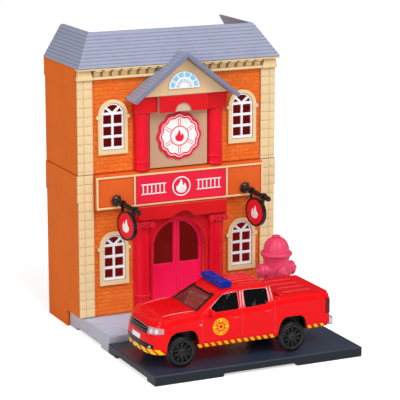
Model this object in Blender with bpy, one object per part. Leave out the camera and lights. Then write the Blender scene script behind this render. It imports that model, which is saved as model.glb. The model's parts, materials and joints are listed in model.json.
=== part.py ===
"""Toy fire station diorama: a two-storey station, a sidewalk with a hydrant, a road plate and a pickup truck.

All lengths are metres, +Z is up. The station's own frame has x = 0 in the middle of the front wall,
y = 0 at the fronts of the pilasters, +y to the back, and z = 0 on the floor. An empty carries that frame
so that the whole part's origin is the bottom centre of its box.
"""
import math

import bmesh
import bpy
from mathutils import Matrix, Vector

# Fits and cuts
GAP = 0.0003
OVERRUN = 0.003
ARC_STEPS = 12
ROUND_STEPS = 24
SMALL_STEPS = 12

# Station: overall
BUILDING_DEPTH = 0.056
LOWER_STOREY = 0.102
UPPER_STOREY = 0.067
ROOF_RISE = 0.02
WINDOW_BAY = 0.0265
WALL_FRONT = 0.0015
WALL = 0.0022
DECK = 0.002
LINER = 0.0015
LINER_BACK_INSET = 0.001

# Station: the proud band round the top of each storey
BAND_STEP = 0.0006
BAND_SLOPE = 0.0012
LOWER_BAND = 0.018
UPPER_BAND = 0.011

# Sidewalk and road plate
FOREGROUND_LENGTH = 0.1366
FOREGROUND_SHIFT = 0.0021
WALK_DEPTH = 0.042
WALK_UNDER = 0.0227
WALK_HEIGHT = 0.0103
PLATE_DEPTH = 0.0705
PLATE_HEIGHT = 0.0062
FOOT_RECESS = 0.0018
FOOT_LONG = 0.0443
FOOT_SHORT = 0.012
EDGE_BEVEL = 0.0005

# Roof
EAVE_OVERHANG = 0.005
EAVE_SIDE = 0.0005
ROOF_INSET_FRONT = 0.0139
ROOF_INSET_SIDE = 0.0122
ROOF_SHEET = 0.002
COURSE_COUNT = 10
COURSE_STEP = 0.0003

# Gable roof and pediment
GABLE_REACH = 0.0048
GABLE_RISE = 0.0282
GABLE_TIP_DROP = 0.001
GABLE_SHEET = 0.0022
GABLE_FRONT = 0.0155
PEDIMENT_FRONT = 0.008
FANLIGHT_RADIUS = 0.0106
FANLIGHT_LIFT = 0.004
FANLIGHT_PROUD = 0.0006
FANLIGHT_PANES = 7
FANLIGHT_OUTER_SHARE = (0.64, 0.9)
FANLIGHT_INNER_SHARE = (0.3, 0.5)
FANLIGHT_PANE_ANGLE_SHARE = 0.72

# Upper portico
UPPER_COLUMN_RADIUS = 0.0048
COLUMN_RING = 0.0005
COLUMN_RING_HEIGHT = 0.0013
COLUMN_CAP_HEIGHT = 0.0024
UPPER_RING_LIFT = 0.0052
LINTEL_HEIGHT = 0.0106
LINTEL_CENTRE_HALF = 0.0164
LINTEL_SIDE_FRONT = 0.0048
LINTEL_FACE = 0.0008
NOTCH_RADIUS = 0.0056
PANEL_LIFT = 0.0006
BADGE_FOOT = 0.005
BADGE_HEAD = 0.0014
BADGE_MARGIN = 0.0045
BADGE_RADIUS = 0.0152
BADGE_LOBES = 12
BADGE_LOBE_RISE = 0.0007
BADGE_THICK = 0.0012
BADGE_RING_WIDTH = 0.0016
BADGE_RELIEF = 0.0003

# Pilasters and cornice
PILASTER_WIDTH = 0.0102
PILASTER_COURSE = 0.0057
PILASTER_GROOVE = 0.0003
PILASTER_JOINT_X = 0.0042
CAPITAL_DROP = 0.0076
CAPITAL_PROUD = 0.0008
LEDGE_HEIGHT = 0.0016
LEDGE_PROUD = 0.002
CORNICE_BAND_FRONT = 0.0002
BRACKET_PITCH = 0.0061
BRACKET_WIDTH = 0.0034
BRACKET_COUNT = 19
BRACKET_REACH = 0.0042
EAVE_STRIP = 0.0012
EAVE_STRIP_FRONT = 0.0046
EAVE_STRIP_END = 0.0002

# Windows
WINDOW_HEAD = 0.0155
WINDOW_LIFT = 0.0119
WINDOW_MARGIN = 0.00225
SURROUND_HEIGHT = 0.0344
SURROUND_BAND = 0.0023
SURROUND_SILL = 0.0028
SURROUND_PROUD = 0.0004
EAR_REACH = 0.0012
EAR_HEIGHT = 0.0022
FRAME_FRONT = 0.0004
FRAME_THICK = 0.002
FRAME_RAIL = 0.0013
FRAME_BOTTOM_RAIL = 0.0015
MUNTIN = 0.0023
CROSSBAR = 0.0019
PANE_ROWS = 3
FAN_HUB = 0.0017
FAN_BAR = 0.0015
FAN_ANGLES = ((0, 55), (55, 125), (125, 180))
FAN_STEPS = 4

# Belt, sign board and entablature
BELT_HEIGHT = 0.0204
BELT_LEDGE = 0.0014
BELT_FRONT = 0.0033
BELT_LEDGE_SETBACK = 0.0016
STRIP_WIDTH = 0.0011
STRIP_THICK = 0.0006
DIVIDER_REACH = 0.0006
BOARD_THICK = 0.0004
ENTABLATURE_INSET = 0.001
ENTABLATURE_HEIGHT = 0.0087
ENTABLATURE_FRONT = 0.0073
SOFFIT_ARCH_HALF = 0.0074
SOFFIT_ARCH_RISE = 0.0037

# Lower portico and doors
PORTICO_EDGE = 0.0011
PORTICO_FACE = 0.0002
DOORWAY_MARGIN = 0.0001
DOORWAY_HEAD = 0.0015
DOORWAY_RIDGE = 0.0015
DOORWAY_RIDGE_PROUD = 0.0009
LOWER_COLUMN_INSET = 0.0058
LOWER_COLUMN_RADIUS = 0.005
LOWER_RING_LIFT = 0.0102
BASE_HEIGHT = 0.003
CAPITAL_HEIGHT = 0.0045
LOWER_CAPITAL_HALF = 0.0057
LOWER_CAPITAL_FRONT = 0.0056
SCROLL_RADIUS = 0.0019
SCROLL_DROP = 0.0012
LEAF_LAP = 0.001
LEAF_THICK = 0.002
LEAF_CLEARANCE = 0.0004
LEAF_MEETING_GAP = 0.0002
LEAF_MEETING_STILE = 0.0019
LEAF_RAIL = 0.0023
LEAF_WINDOW_DROP = 0.0114
HINGE_SETBACK = 0.003
BARREL_RADIUS = 0.0015
PIVOT_RADIUS = 0.0008
LUG_RADIUS = 0.0017
LUG_HEIGHT = 0.0025
LUG_WEB_HALF = 0.0011
LUG_CLEARANCE = 0.0005

# Hanging signs
SIGN_LIFT = 0.0053
SIGN_YAW = math.radians(12)
SIGN_DROOP = math.radians(8)
ROSETTE_RADIUS = 0.0037
ROSETTE_THICK = 0.0018
ROSETTE_SHARES = ((1, 0), (1, 0.5), (0.8, 1), (0.5, 1.2))
BAR_RADIUS = 0.0012
BAR_LENGTH = 0.026
BAR_CAP_RADIUS = 0.0017
BAR_CAP_LENGTH = 0.0014
DISC_RADIUS = 0.0093
DISC_THICK = 0.0024
DISC_RIM = 0.0011
DISC_RECESS = 0.0004
DISC_ALONG = 0.0138
DISC_DROP = 0.0122
LUG_SPREAD = 0.0062
SIGN_LUG_WIDTH = 0.0016
SIGN_LUG_WALL = 0.0009

# Hydrant
HYDRANT_INSET = 0.0162
HYDRANT_SETBACK = 0.012
HYDRANT_HEIGHT = 0.0482
HYDRANT_BASE_RADIUS = 0.0096
HYDRANT_BASE_THICK = 0.0026
BARREL_BODY_RADIUS = 0.0083
HYDRANT_FLANGE_RADIUS = 0.0103
HYDRANT_FLANGE_Z = 0.0346
HYDRANT_FLANGE_THICK = 0.0032
HYDRANT_FLANGE_LIP = 0.0012
DOME_RADIUS = 0.0086
DOME_CAP_RADIUS = 0.0032
DOME_CAP_HEIGHT = 0.0008
DOME_STEPS = 7
NOZZLE_Z = 0.0258
NOZZLE_RADIUS = 0.0046
NOZZLE_REACH = 0.0146
NOZZLE_CROWN = 0.0012
NOZZLE_RING = 0.0011
NOZZLE_RING_REACH = 0.0018
NOZZLE_STEPS = 16

# Truck, in its own frame: x = 0 at the front axle, +x to the tail, y = 0 its middle, z = 0 its ground
NOSE_SHARES = (
    (1.0, 0.6, 1.1, 0.74, 0.56, 0.78),
    (0.93, 0.8, 0.93, 0.88, 0.74, 0.93),
    (0.8, 0.92, 0.86, 0.93, 0.82, 1.0),
    (0.55, 0.985, 0.86, 0.97, 0.85, 1.05),
)
SIDE_SHARES = ((0.93, 0), (0.985, 0.2), (1, 0.55), (0.965, 1))
TOP_SHARES = ((1, 0.92), (0.82, 1))
HOOD_WIDTH_SHARE = 0.88
HOOD_RISE_SHARE = 0.97
ROOF_END_SHARE = 0.98
RAIL_ROUND = 0.0009
TAIL_ROUND = 0.0045
TRUCK_INSET = 0.021
TRUCK_OFFSET = 0.00495
WHEELBASE = 0.0722
WHEEL_RADIUS = 0.0091
TYRE_WIDTH = 0.0056
RIM_RADIUS = 0.0063
RIM_DISH = 0.0009
RIM_SPOKES = 10
TYRE_EDGE = 0.0008
RIM_WELL_SHARES = (0.38, 0.82)
RIM_WELL_ANGLE_SHARE = 0.6
RIM_WELL_DEPTH = 0.0012
HUB_RADIUS = 0.0018
AXLE_RADIUS = 0.0008
FRONT_OVERHANG = 0.0211
REAR_OVERHANG = 0.0258
BODY_HALF = 0.0222
BODY_SKIN = 0.0011
SILL_Z = 0.0102
TAIL_SILL_Z = 0.013
BELTLINE_Z = 0.0302
NOSE_TOP_Z = 0.0282
COWL_X = 0.0095
COWL_Z = 0.0319
SCREEN_RUN = 0.016
BACKLIGHT_RUN = 0.006
CAB_END_LEAD = 0.0077
TRUCK_ROOF_Z = 0.0427
TUMBLEHOME = 0.0054
RAIL_Z = 0.033
ARCH_RADIUS = 0.0109
ARCH_RISE = 0.0006
CHASSIS_TOP_Z = 0.0118
CHASSIS_LOW_Z = 0.0102
CHASSIS_CLEARANCE = 0.0002
WHEEL_CLEARANCE = 0.0041
AXLE_BLOCK_HALF = 0.0024
AXLE_BLOCK_THICK = 0.002
AXLE_BLOCK_INSET = 0.0017
UNDERBODY_TOP_Z = 0.0245
UNDERBODY_WALL = 0.0028
BED_DECK = 0.0018
GLASS_SHEET = 0.0008
GLASS_LAP = 0.0014
WINDOW_SILL_Z = 0.0306
FRONT_WINDOW_SHARES = ((0.245, 0), (0.505, 0), (0.505, 1), (0.31, 1), (0.187, 0.4))
REAR_WINDOW_SHARES = ((0.547, 0), (0.865, 0.06), (0.885, 0.5), (0.85, 0.97), (0.547, 1))
WINDOW_TOP_Z = 0.0402
SCREEN_LOW_INSET = 0.004
SCREEN_TOP_INSET = 0.0022
SCREEN_LOW_Z = 0.0329
SCREEN_TOP_Z = 0.0411
BACKLIGHT_INSET = 0.003
SEAT_WIDTH = 0.0135
SEAT_DEPTH = 0.0105
SEAT_CUSHION_Z = 0.0185
SEAT_TOP_Z = 0.0308
SEAT_BACK = 0.003
TUB_TOP_Z = 0.0133
TUB_INSET = 0.0044
TUB_FRONT_GAP = 0.004
TUB_REAR_GAP = 0.007
SEAT_ROWS = 2
DASH_DEPTH = 0.006
DASH_TOP_Z = 0.0285
COVER_THICK = 0.0011
COVER_INSET = 0.0017
COVER_RIBS = 4
COVER_RIB_WIDTH = 0.0009
COVER_RIB_RISE = 0.0004
COVER_RIB_SHARE = 0.62
GRILLE_LOW_Z = 0.0218
GRILLE_TOP_Z = 0.0262
GRILLE_LAMP_GAP = 0.0005
INTAKE_LOW_Z = 0.0118
INTAKE_TOP_Z = 0.0152
INTAKE_INSET = 0.0046
INSERT_DEPTH = 0.0042
INSERT_LINK = 0.0018
LAMP_LOW_Z = 0.0212
LAMP_TOP_Z = 0.0266
LAMP_LENGTH = 0.0089
LAMP_DEPTH = 0.0098
LAMP_BAR = 0.0018
TAIL_LAMP_LOW_Z = 0.0205
TAIL_LAMP_TOP_Z = 0.031
TAIL_LAMP_DEPTH = 0.0012
TAIL_BAR_DEPTH = 0.002
TAIL_LAMP_WIDTH = 0.0036
REAR_BUMPER_REACH = 0.003
REAR_BUMPER_LOW_Z = 0.0128
REAR_BUMPER_TOP_Z = 0.0178
REAR_BUMPER_INSET = 0.0026
LIGHTBAR_SETBACK = 0.0067
LIGHTBAR_OVERHANG = 0.0004
LIGHTBAR_DEPTH = 0.0076
LIGHTBAR_HEIGHT = 0.0032
LIGHTBAR_BEVEL = 0.0009
MIRROR_SETBACK = 0.0083
MIRROR_Z = 0.0308
MIRROR_DEPTH = 0.0028
MIRROR_REACH = 0.0034
MIRROR_HEIGHT = 0.004

# Heights that follow from the sizes
JOINT_Z = LOWER_STOREY
EAVE_Z = JOINT_Z + UPPER_STOREY
RIDGE_Z = EAVE_Z + ROOF_RISE
WALL_BASE_Z = WALK_HEIGHT + GAP
LINER_FLOOR_TOP = WALL_BASE_Z + LINER
LOWER_TOP_Z = JOINT_Z - GAP / 2
UPPER_BASE_Z = JOINT_Z + GAP / 2
UPPER_TOP_Z = EAVE_Z - GAP
BELT_TOP = JOINT_Z - BELT_LEDGE
BELT_LOW = BELT_TOP - BELT_HEIGHT
ENTABLATURE_LOW = BELT_LOW - ENTABLATURE_HEIGHT
LOWER_RING_Z = WALK_HEIGHT + LOWER_RING_LIFT
LOWER_WINDOW_Z = BELT_LOW - WINDOW_HEAD - SURROUND_HEIGHT
UPPER_WINDOW_Z = JOINT_Z + WINDOW_LIFT
SIGN_Z = BELT_LOW + SIGN_LIFT
UPPER_RING_Z = JOINT_Z + UPPER_RING_LIFT
PANEL_LOW = JOINT_Z + PANEL_LIFT
BADGE_Z = JOINT_Z + BADGE_FOOT + BADGE_RADIUS
LINTEL_LOW = BADGE_Z + BADGE_RADIUS + BADGE_HEAD
PEDIMENT_BASE_Z = LINTEL_LOW + LINTEL_HEIGHT
FANLIGHT_Z = PEDIMENT_BASE_Z + FANLIGHT_LIFT
GABLE_TIP_Z = PEDIMENT_BASE_Z - GABLE_TIP_DROP
GABLE_APEX_Z = GABLE_TIP_Z + GABLE_RISE
CAPITAL_LOW = EAVE_Z - CAPITAL_DROP

# Places across the front that follow from the sizes
PANEL_HALF = BADGE_RADIUS + BADGE_MARGIN
UPPER_COLUMN_X = PANEL_HALF + GAP + COLUMN_RING + UPPER_COLUMN_RADIUS
PORTICO_HALF = UPPER_COLUMN_X + UPPER_COLUMN_RADIUS + PORTICO_EDGE
LINTEL_HALF = PORTICO_HALF
DIVIDER_X = PORTICO_HALF + DIVIDER_REACH
GABLE_HALF = PORTICO_HALF + GABLE_REACH
ENTABLATURE_HALF = PORTICO_HALF - ENTABLATURE_INSET
LOWER_COLUMN_X = PORTICO_HALF - LOWER_COLUMN_INSET
DOORWAY_HALF = LOWER_COLUMN_X - LOWER_COLUMN_RADIUS - COLUMN_RING - DOORWAY_RIDGE - DOORWAY_MARGIN
DOORWAY_SPRING_Z = ENTABLATURE_LOW - DOORWAY_HEAD - DOORWAY_RIDGE - DOORWAY_HALF
LEAF_RADIUS = DOORWAY_HALF + LEAF_LAP
LEAF_WINDOW_RADIUS = DOORWAY_HALF - LEAF_RAIL
LEAF_WINDOW_Z = DOORWAY_SPRING_Z - LEAF_WINDOW_DROP
HINGE_X = DOORWAY_HALF + HINGE_SETBACK
WINDOW_X = PORTICO_HALF + WINDOW_BAY / 2
SURROUND_HALF = WINDOW_BAY / 2 - WINDOW_MARGIN - EAR_REACH
SIGN_X = WINDOW_X
PILASTER_IN = PORTICO_HALF + WINDOW_BAY
BELT_HALF = PILASTER_IN - GAP
BODY_WALL_HALF = PILASTER_IN + PILASTER_WIDTH
HALF = BODY_WALL_HALF + BAND_STEP
BUILDING_WIDTH = HALF * 2
EAVE_HALF = HALF + EAVE_SIDE

# Depths and places on the ground that follow from the sizes
WALL_BACK = WALL_FRONT + WALL
SEAT_Y = WALL_FRONT - GAP
HINGE_Y = WALL_BACK + LEAF_CLEARANCE + BARREL_RADIUS
FRONT_Y = -(WALK_DEPTH + PLATE_DEPTH)
RIGHT_X = FOREGROUND_SHIFT + FOREGROUND_LENGTH / 2
HYDRANT_X = RIGHT_X - HYDRANT_INSET
HYDRANT_Y = HYDRANT_SETBACK - WALK_DEPTH
TRUCK_X = RIGHT_X - FOREGROUND_LENGTH + TRUCK_INSET
TRUCK_Y = -WALK_DEPTH - PLATE_DEPTH / 2 - TRUCK_OFFSET
STATION_PLACE = (-(RIGHT_X - EAVE_HALF) / 2, -(BUILDING_DEPTH + FRONT_Y) / 2, 0)

# Places along the truck that follow from the sizes
TRUCK_FRONT = -FRONT_OVERHANG
TRUCK_REAR = WHEELBASE + REAR_OVERHANG
ROOF_FRONT_X = COWL_X + SCREEN_RUN
CAB_REAR_X = WHEELBASE - CAB_END_LEAD
ROOF_REAR_X = CAB_REAR_X - BACKLIGHT_RUN
MIRROR_X = COWL_X + MIRROR_SETBACK
LIGHTBAR_X = ROOF_FRONT_X + LIGHTBAR_SETBACK
TUB_FRONT_X = COWL_X + TUB_FRONT_GAP
TUB_REAR_X = CAB_REAR_X - TUB_REAR_GAP

# Half widths across the truck that follow from the sizes
TRACK_HALF = BODY_HALF
ROOF_HALF = BODY_HALF - TUMBLEHOME
LIGHTBAR_HALF = ROOF_HALF + LIGHTBAR_OVERHANG
SCREEN_TOP_HALF = ROOF_HALF - SCREEN_TOP_INSET
SCREEN_LOW_HALF = BODY_HALF - SCREEN_LOW_INSET
BACKLIGHT_HALF = ROOF_HALF - BACKLIGHT_INSET
COVER_HALF = BODY_HALF - COVER_INSET
REAR_BUMPER_HALF = BODY_HALF - REAR_BUMPER_INSET
INTAKE_HALF = BODY_HALF - INTAKE_INSET
LAMP_INNER_Y = BODY_HALF - LAMP_LENGTH
GRILLE_HALF = LAMP_INNER_Y - GRILLE_LAMP_GAP
TUB_HALF = BODY_HALF - TUB_INSET
UNDERBODY_HALF = BODY_HALF - UNDERBODY_WALL
CHASSIS_HALF = UNDERBODY_HALF - CHASSIS_CLEARANCE
CHASSIS_WAIST_HALF = TRACK_HALF - TYRE_WIDTH - WHEEL_CLEARANCE
AXLE_BLOCK_Y = CHASSIS_WAIST_HALF - AXLE_BLOCK_INSET

SHARP_ANGLE = math.radians(35)

# Colours and finishes: name, colour, roughness, metallic
FINISHES = {
    "orange_plastic": ((0.80, 0.16, 0.02, 1), 0.5, 0.0),
    "tan_plastic": ((0.80, 0.60, 0.34, 1), 0.55, 0.0),
    "brown_tan_plastic": ((0.60, 0.36, 0.23, 1), 0.55, 0.0),
    "grey_roof_plastic": ((0.38, 0.41, 0.56, 1), 0.5, 0.0),
    "red_plastic": ((0.78, 0.015, 0.03, 1), 0.4, 0.0),
    "pink_red_plastic": ((0.84, 0.01, 0.08, 1), 0.4, 0.0),
    "dark_red_plastic": ((0.13, 0.003, 0.004, 1), 0.5, 0.0),
    "white_plastic": ((0.92, 0.92, 0.94, 1), 0.4, 0.0),
    "black_gloss_plastic": ((0.015, 0.011, 0.012, 1), 0.25, 0.0),
    "steel_pin": ((0.55, 0.56, 0.58, 1), 0.3, 1.0),
    "grey_stone_plastic": ((0.50, 0.49, 0.57, 1), 0.6, 0.0),
    "road_plastic": ((0.035, 0.035, 0.045, 1), 0.35, 0.0),
    "hydrant_plastic": ((0.82, 0.02, 0.07, 1), 0.45, 0.0),
    "truck_red_paint": ((0.80, 0.01, 0.02, 1), 0.2, 0.0),
    "tinted_glass": ((0.05, 0.05, 0.06, 1), 0.08, 0.0),
    "clear_lens": ((0.80, 0.82, 0.85, 1), 0.1, 0.0),
    "red_lens": ((0.30, 0.0, 0.01, 1), 0.12, 0.0),
    "blue_lens": ((0.02, 0.04, 0.35, 1), 0.15, 0.0),
    "chrome": ((0.62, 0.62, 0.66, 1), 0.12, 1.0),
    "tyre_rubber": ((0.012, 0.011, 0.012, 1), 0.7, 0.0),
}


def clear_scene():
    """Empty the scene that the script starts in."""
    for thing in list(bpy.data.objects):
        bpy.data.objects.remove(thing, do_unlink=True)


def finish(name):
    """The material of a finish, made the first time that it is asked for."""
    made = bpy.data.materials.get(name)
    if made:
        return made
    colour, roughness, metallic = FINISHES[name]
    made = bpy.data.materials.new(name)
    made.use_nodes = True
    made.diffuse_color = colour
    shader = made.node_tree.nodes["Principled BSDF"]
    shader.inputs["Base Color"].default_value = colour
    shader.inputs["Roughness"].default_value = roughness
    shader.inputs["Metallic"].default_value = metallic
    return made


def empty(name, place, turn=(0, 0, 0), parent=None):
    """A frame that pieces hang from."""
    made = bpy.data.objects.new(name, None)
    bpy.context.collection.objects.link(made)
    made.location = place
    made.rotation_euler = turn
    made.parent = parent
    return made


def solid(name, shape, look, parent, smooth=False, origin=(0, 0, 0)):
    """An object from a bmesh whose points are in the parent's frame; its origin goes to the given point."""
    bmesh.ops.recalc_face_normals(shape, faces=shape.faces)
    if shape.calc_volume(signed=True) < 0:
        bmesh.ops.reverse_faces(shape, faces=shape.faces)
    bmesh.ops.translate(shape, verts=shape.verts, vec=-Vector(origin))
    mesh = bpy.data.meshes.new(name)
    shape.to_mesh(mesh)
    shape.free()
    if smooth:
        mesh.shade_smooth()
        mesh.set_sharp_from_angle(angle=SHARP_ANGLE)
    mesh.materials.append(finish(look))
    made = bpy.data.objects.new(name, mesh)
    bpy.context.collection.objects.link(made)
    made.parent = parent
    made.location = origin
    return made


def combine(target, shape, operation):
    """Boolean of a piece with a helper shape given in the same parent frame; the helper stays hidden."""
    count = len([m for m in target.modifiers if m.type == "BOOLEAN"])
    helper = solid(f"{target.name}_{operation.lower()}_{count}", shape, "white_plastic", target.parent)
    helper.hide_render = True
    helper.display_type = "WIRE"
    step = target.modifiers.new(operation.lower(), "BOOLEAN")
    step.operation = operation
    step.solver = "EXACT"
    step.object = helper
    return target


def cut(target, shape):
    """Take the shape out of the piece."""
    return combine(target, shape, "DIFFERENCE")


def fuse(target, shape):
    """Join the shape to the piece."""
    return combine(target, shape, "UNION")


def keep(target, shape):
    """Keep what lies inside the shape."""
    return combine(target, shape, "INTERSECT")


def bevel(target, width, segments=1):
    """Round the piece's edges."""
    step = target.modifiers.new("bevel", "BEVEL")
    step.width = width
    step.segments = segments
    step.limit_method = "ANGLE"
    return target


def axis_slots(axis):
    """Which coordinates lie across an axis, and which one runs along it."""
    return {"X": (1, 2, 0), "Y": (0, 2, 1), "Z": (0, 1, 2)}[axis]


def place_in(axis, first, second, along):
    """A point from its two coordinates across an axis and the one along it."""
    point = [0, 0, 0]
    for slot, value in zip(axis_slots(axis), (first, second, along)):
        point[slot] = value
    return point


def skin(shape, rings, closed=False, ladder=False):
    """Faces through rings of points; closed joins the last ring to the first, else both ends are capped.

    A ladder cap goes across in strips, for rings whose second half mirrors the first.
    """
    made = [[shape.verts.new(point) for point in ring] for ring in rings]
    pairs = list(zip(made, made[1:]))
    if closed:
        pairs.append((made[-1], made[0]))
    for low, high in pairs:
        for here in range(len(low)):
            after = (here + 1) % len(low)
            shape.faces.new((low[here], low[after], high[after], high[here]))
    for ring in () if closed else (made[0], made[-1]):
        if ladder:
            last = len(ring) - 1
            for here in range(last // 2):
                shape.faces.new((ring[here], ring[here + 1], ring[last - here - 1], ring[last - here]))
        else:
            shape.faces.new(ring)
    return shape


def prism(outline, axis, low, high, shape=None):
    """A straight bar of the given outline along an axis."""
    shape = shape or bmesh.new()
    rings = [[place_in(axis, a, b, level) for a, b in outline] for level in (low, high)]
    return skin(shape, rings)


def block(low, high, shape=None):
    """A box from its lowest to its highest corner."""
    outline = ((low[0], low[1]), (high[0], low[1]), (high[0], high[1]), (low[0], high[1]))
    return prism(outline, "Z", low[2], high[2], shape)


def turned(profile, axis, centre, steps=ROUND_STEPS, closed=False, shape=None, arc=math.tau, start=0.0):
    """A profile of (radius, along) points turned round an axis through the centre point."""
    shape = shape or bmesh.new()
    first, second, along = (centre[slot] for slot in axis_slots(axis))
    rings = []
    for radius, level in profile:
        angles = [start + arc * step / steps for step in range(steps)]
        rings.append([place_in(axis, first + radius * math.cos(angle), second + radius * math.sin(angle),
                               along + level) for angle in angles])
    return skin(shape, rings, closed)


def arc_points(centre, radius, start, end, steps=ARC_STEPS):
    """Points along an arc, both ends included; the angles are in degrees."""
    angles = [math.radians(start + (end - start) * step / steps) for step in range(steps + 1)]
    return [(centre[0] + radius * math.cos(a), centre[1] + radius * math.sin(a)) for a in angles]


def arched(x, half, low, spring, steps=ARC_STEPS):
    """Outline of an opening with upright sides and a half-round head."""
    return [(x + half, low)] + arc_points((x, spring), half, 0, 180, steps) + [(x - half, low)]


def mirrored(sign, outline):
    """The outline on the right-hand side, or its mirror image on the left."""
    return [(sign * a, b) for a, b in outline]


def side_name(sign):
    """The word for the left or right side."""
    return "right" if sign > 0 else "left"


# Storeys


def storey_outline(low, top, band):
    """Cross outline of a storey with the proud band round its top."""
    right = [(BODY_WALL_HALF, low), (BODY_WALL_HALF, top - band - BAND_SLOPE), (HALF, top - band),
             (HALF, top)]
    return right + [(-x, z) for x, z in reversed(right)]


def window_hole(shape, x, sill):
    """Opening in a wall for a window frame."""
    half = SURROUND_HALF - SURROUND_BAND
    low = sill + SURROUND_SILL
    spring = sill + SURROUND_HEIGHT - SURROUND_HALF
    return prism(arched(x, half, low, spring), "Y", WALL_FRONT - OVERRUN, WALL_BACK + OVERRUN, shape)


def storey_shell(name, low, top, band, sill, parent):
    """Front wall, side walls and deck of a storey, open at the back and underneath."""
    shell = solid(name, prism(storey_outline(low, top, band), "Y", WALL_FRONT, BUILDING_DEPTH),
                  "orange_plastic", parent)
    inner = BODY_WALL_HALF - WALL
    cut(shell, block((-inner, WALL_BACK, low - OVERRUN), (inner, BUILDING_DEPTH + OVERRUN, top - DECK)))
    holes = bmesh.new()
    for sign in (-1, 1):
        window_hole(holes, sign * WINDOW_X, sill)
    return cut(shell, holes)


def hinge_lugs():
    """Eyes behind the front wall that hold the doors' upper pivots."""
    shape = bmesh.new()
    low = lug_base_z()
    for sign in (-1, 1):
        turned([(LUG_RADIUS, 0), (LUG_RADIUS, LUG_HEIGHT)], "Z", (sign * HINGE_X, HINGE_Y, low),
               SMALL_STEPS, shape=shape)
    return shape


def hinge_webs():
    """Short webs that join the eyes to the wall."""
    shape = bmesh.new()
    low = lug_base_z()
    for sign in (-1, 1):
        block((sign * HINGE_X - LUG_WEB_HALF, WALL_BACK - WALL / 2, low),
              (sign * HINGE_X + LUG_WEB_HALF, HINGE_Y, low + LUG_HEIGHT), shape)
    return shape


def lug_base_z():
    """Underside of the eyes, a clearance above the door barrels."""
    return DOORWAY_SPRING_Z + LUG_CLEARANCE


def pivot_holes(low, high):
    """Holes for the doors' pivots between two heights."""
    shape = bmesh.new()
    for sign in (-1, 1):
        turned([(PIVOT_RADIUS + GAP, low), (PIVOT_RADIUS + GAP, high)], "Z", (sign * HINGE_X, HINGE_Y, 0),
               SMALL_STEPS, shape=shape)
    return shape


def make_storeys(parent):
    """The two storey shells and the red room inside each."""
    lower = storey_shell("lower_shell", 0, LOWER_TOP_Z, LOWER_BAND, LOWER_WINDOW_Z, parent)
    cut(lower, block((-BUILDING_WIDTH, -OVERRUN, -OVERRUN), (BUILDING_WIDTH, WALK_UNDER + GAP, WALL_BASE_Z)))
    doorway = arched(0, DOORWAY_HALF, WALL_BASE_Z - OVERRUN, DOORWAY_SPRING_Z, ROUND_STEPS)
    cut(lower, prism(doorway, "Y", WALL_FRONT - OVERRUN, WALL_BACK + OVERRUN))
    fuse(lower, hinge_webs())
    fuse(lower, hinge_lugs())
    cut(lower, pivot_holes(lug_base_z() - OVERRUN, lug_base_z() + LUG_HEIGHT + OVERRUN))
    storey_shell("upper_shell", UPPER_BASE_Z, UPPER_TOP_Z, UPPER_BAND, UPPER_WINDOW_Z, parent)
    liner = make_liner("lower_liner", WALL_BASE_Z, LOWER_TOP_Z - DECK - GAP, parent)
    cut(liner, pivot_holes(WALL_BASE_Z - OVERRUN, LINER_FLOOR_TOP + OVERRUN))
    make_liner("upper_liner", LOWER_TOP_Z + GAP, UPPER_TOP_Z - DECK - GAP, parent)


def make_liner(name, low, top, parent):
    """An open-fronted room behind the windows that closes the storey's back."""
    half = BODY_WALL_HALF - WALL - GAP
    front = WALL_BACK + GAP
    back = BUILDING_DEPTH - LINER_BACK_INSET
    liner = solid(name, block((-half, front, low), (half, back, top)), "dark_red_plastic", parent)
    return cut(liner, block((-half + LINER, front - OVERRUN, low + LINER),
                            (half - LINER, back - LINER, top - LINER)))


# Roofs


def roof_profile():
    """Closed profile of the mansard: share of the slope climbed, distance inwards, height."""
    rise = RIDGE_Z - EAVE_Z
    outer = []
    for course in range(COURSE_COUNT):
        for edge, inset in ((course, 0), (course + 1, COURSE_STEP)):
            share = edge / COURSE_COUNT
            outer.append((share, inset, EAVE_Z + rise * share))
    return outer + [(1, COURSE_STEP + ROOF_SHEET, RIDGE_Z), (0, COURSE_STEP + ROOF_SHEET, EAVE_Z)]


def make_mansard(parent):
    """Three sloping sides in lapped courses, open above and behind."""
    profile = roof_profile()
    rings = []
    for sign, at_back in ((-1, True), (-1, False), (1, False), (1, True)):
        ring = []
        for share, inset, z in profile:
            x = sign * (EAVE_HALF - ROOF_INSET_SIDE * share - inset)
            y = BUILDING_DEPTH if at_back else ROOF_INSET_FRONT * share + inset - EAVE_OVERHANG
            ring.append((x, y, z))
        rings.append(ring)
    return solid("mansard_roof", skin(bmesh.new(), rings), "grey_roof_plastic", parent)


def gable_lines():
    """Slope of the gable and the chevron's corner points, outer then inner."""
    slope = math.atan2(GABLE_APEX_Z - GABLE_TIP_Z, GABLE_HALF)
    drop = GABLE_SHEET / math.cos(slope)
    tip_x = GABLE_HALF - GABLE_SHEET * math.sin(slope)
    tip_z = GABLE_TIP_Z - GABLE_SHEET * math.cos(slope)
    return slope, drop, tip_x, tip_z


def facade_profile():
    """Side outline of all that the gable's back has to clear: wall, cornice and mansard."""
    rise = RIDGE_Z - EAVE_Z
    strip_low = UPPER_TOP_Z - EAVE_STRIP
    return [
        (SEAT_Y, 0),
        (SEAT_Y, CAPITAL_LOW - GAP),
        (-LEDGE_PROUD - GAP, CAPITAL_LOW - GAP),
        (-LEDGE_PROUD - GAP, CAPITAL_LOW + LEDGE_HEIGHT),
        (-EAVE_STRIP_FRONT - GAP, strip_low - EAVE_STRIP),
        (-EAVE_STRIP_FRONT - GAP, UPPER_TOP_Z - GAP),
        (-EAVE_OVERHANG - GAP, UPPER_TOP_Z - GAP),
        (-EAVE_OVERHANG - GAP, EAVE_Z),
        (ROOF_INSET_FRONT - EAVE_OVERHANG - GAP, EAVE_Z + rise),
        (BUILDING_DEPTH, EAVE_Z + rise),
        (BUILDING_DEPTH, 0),
    ]


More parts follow.
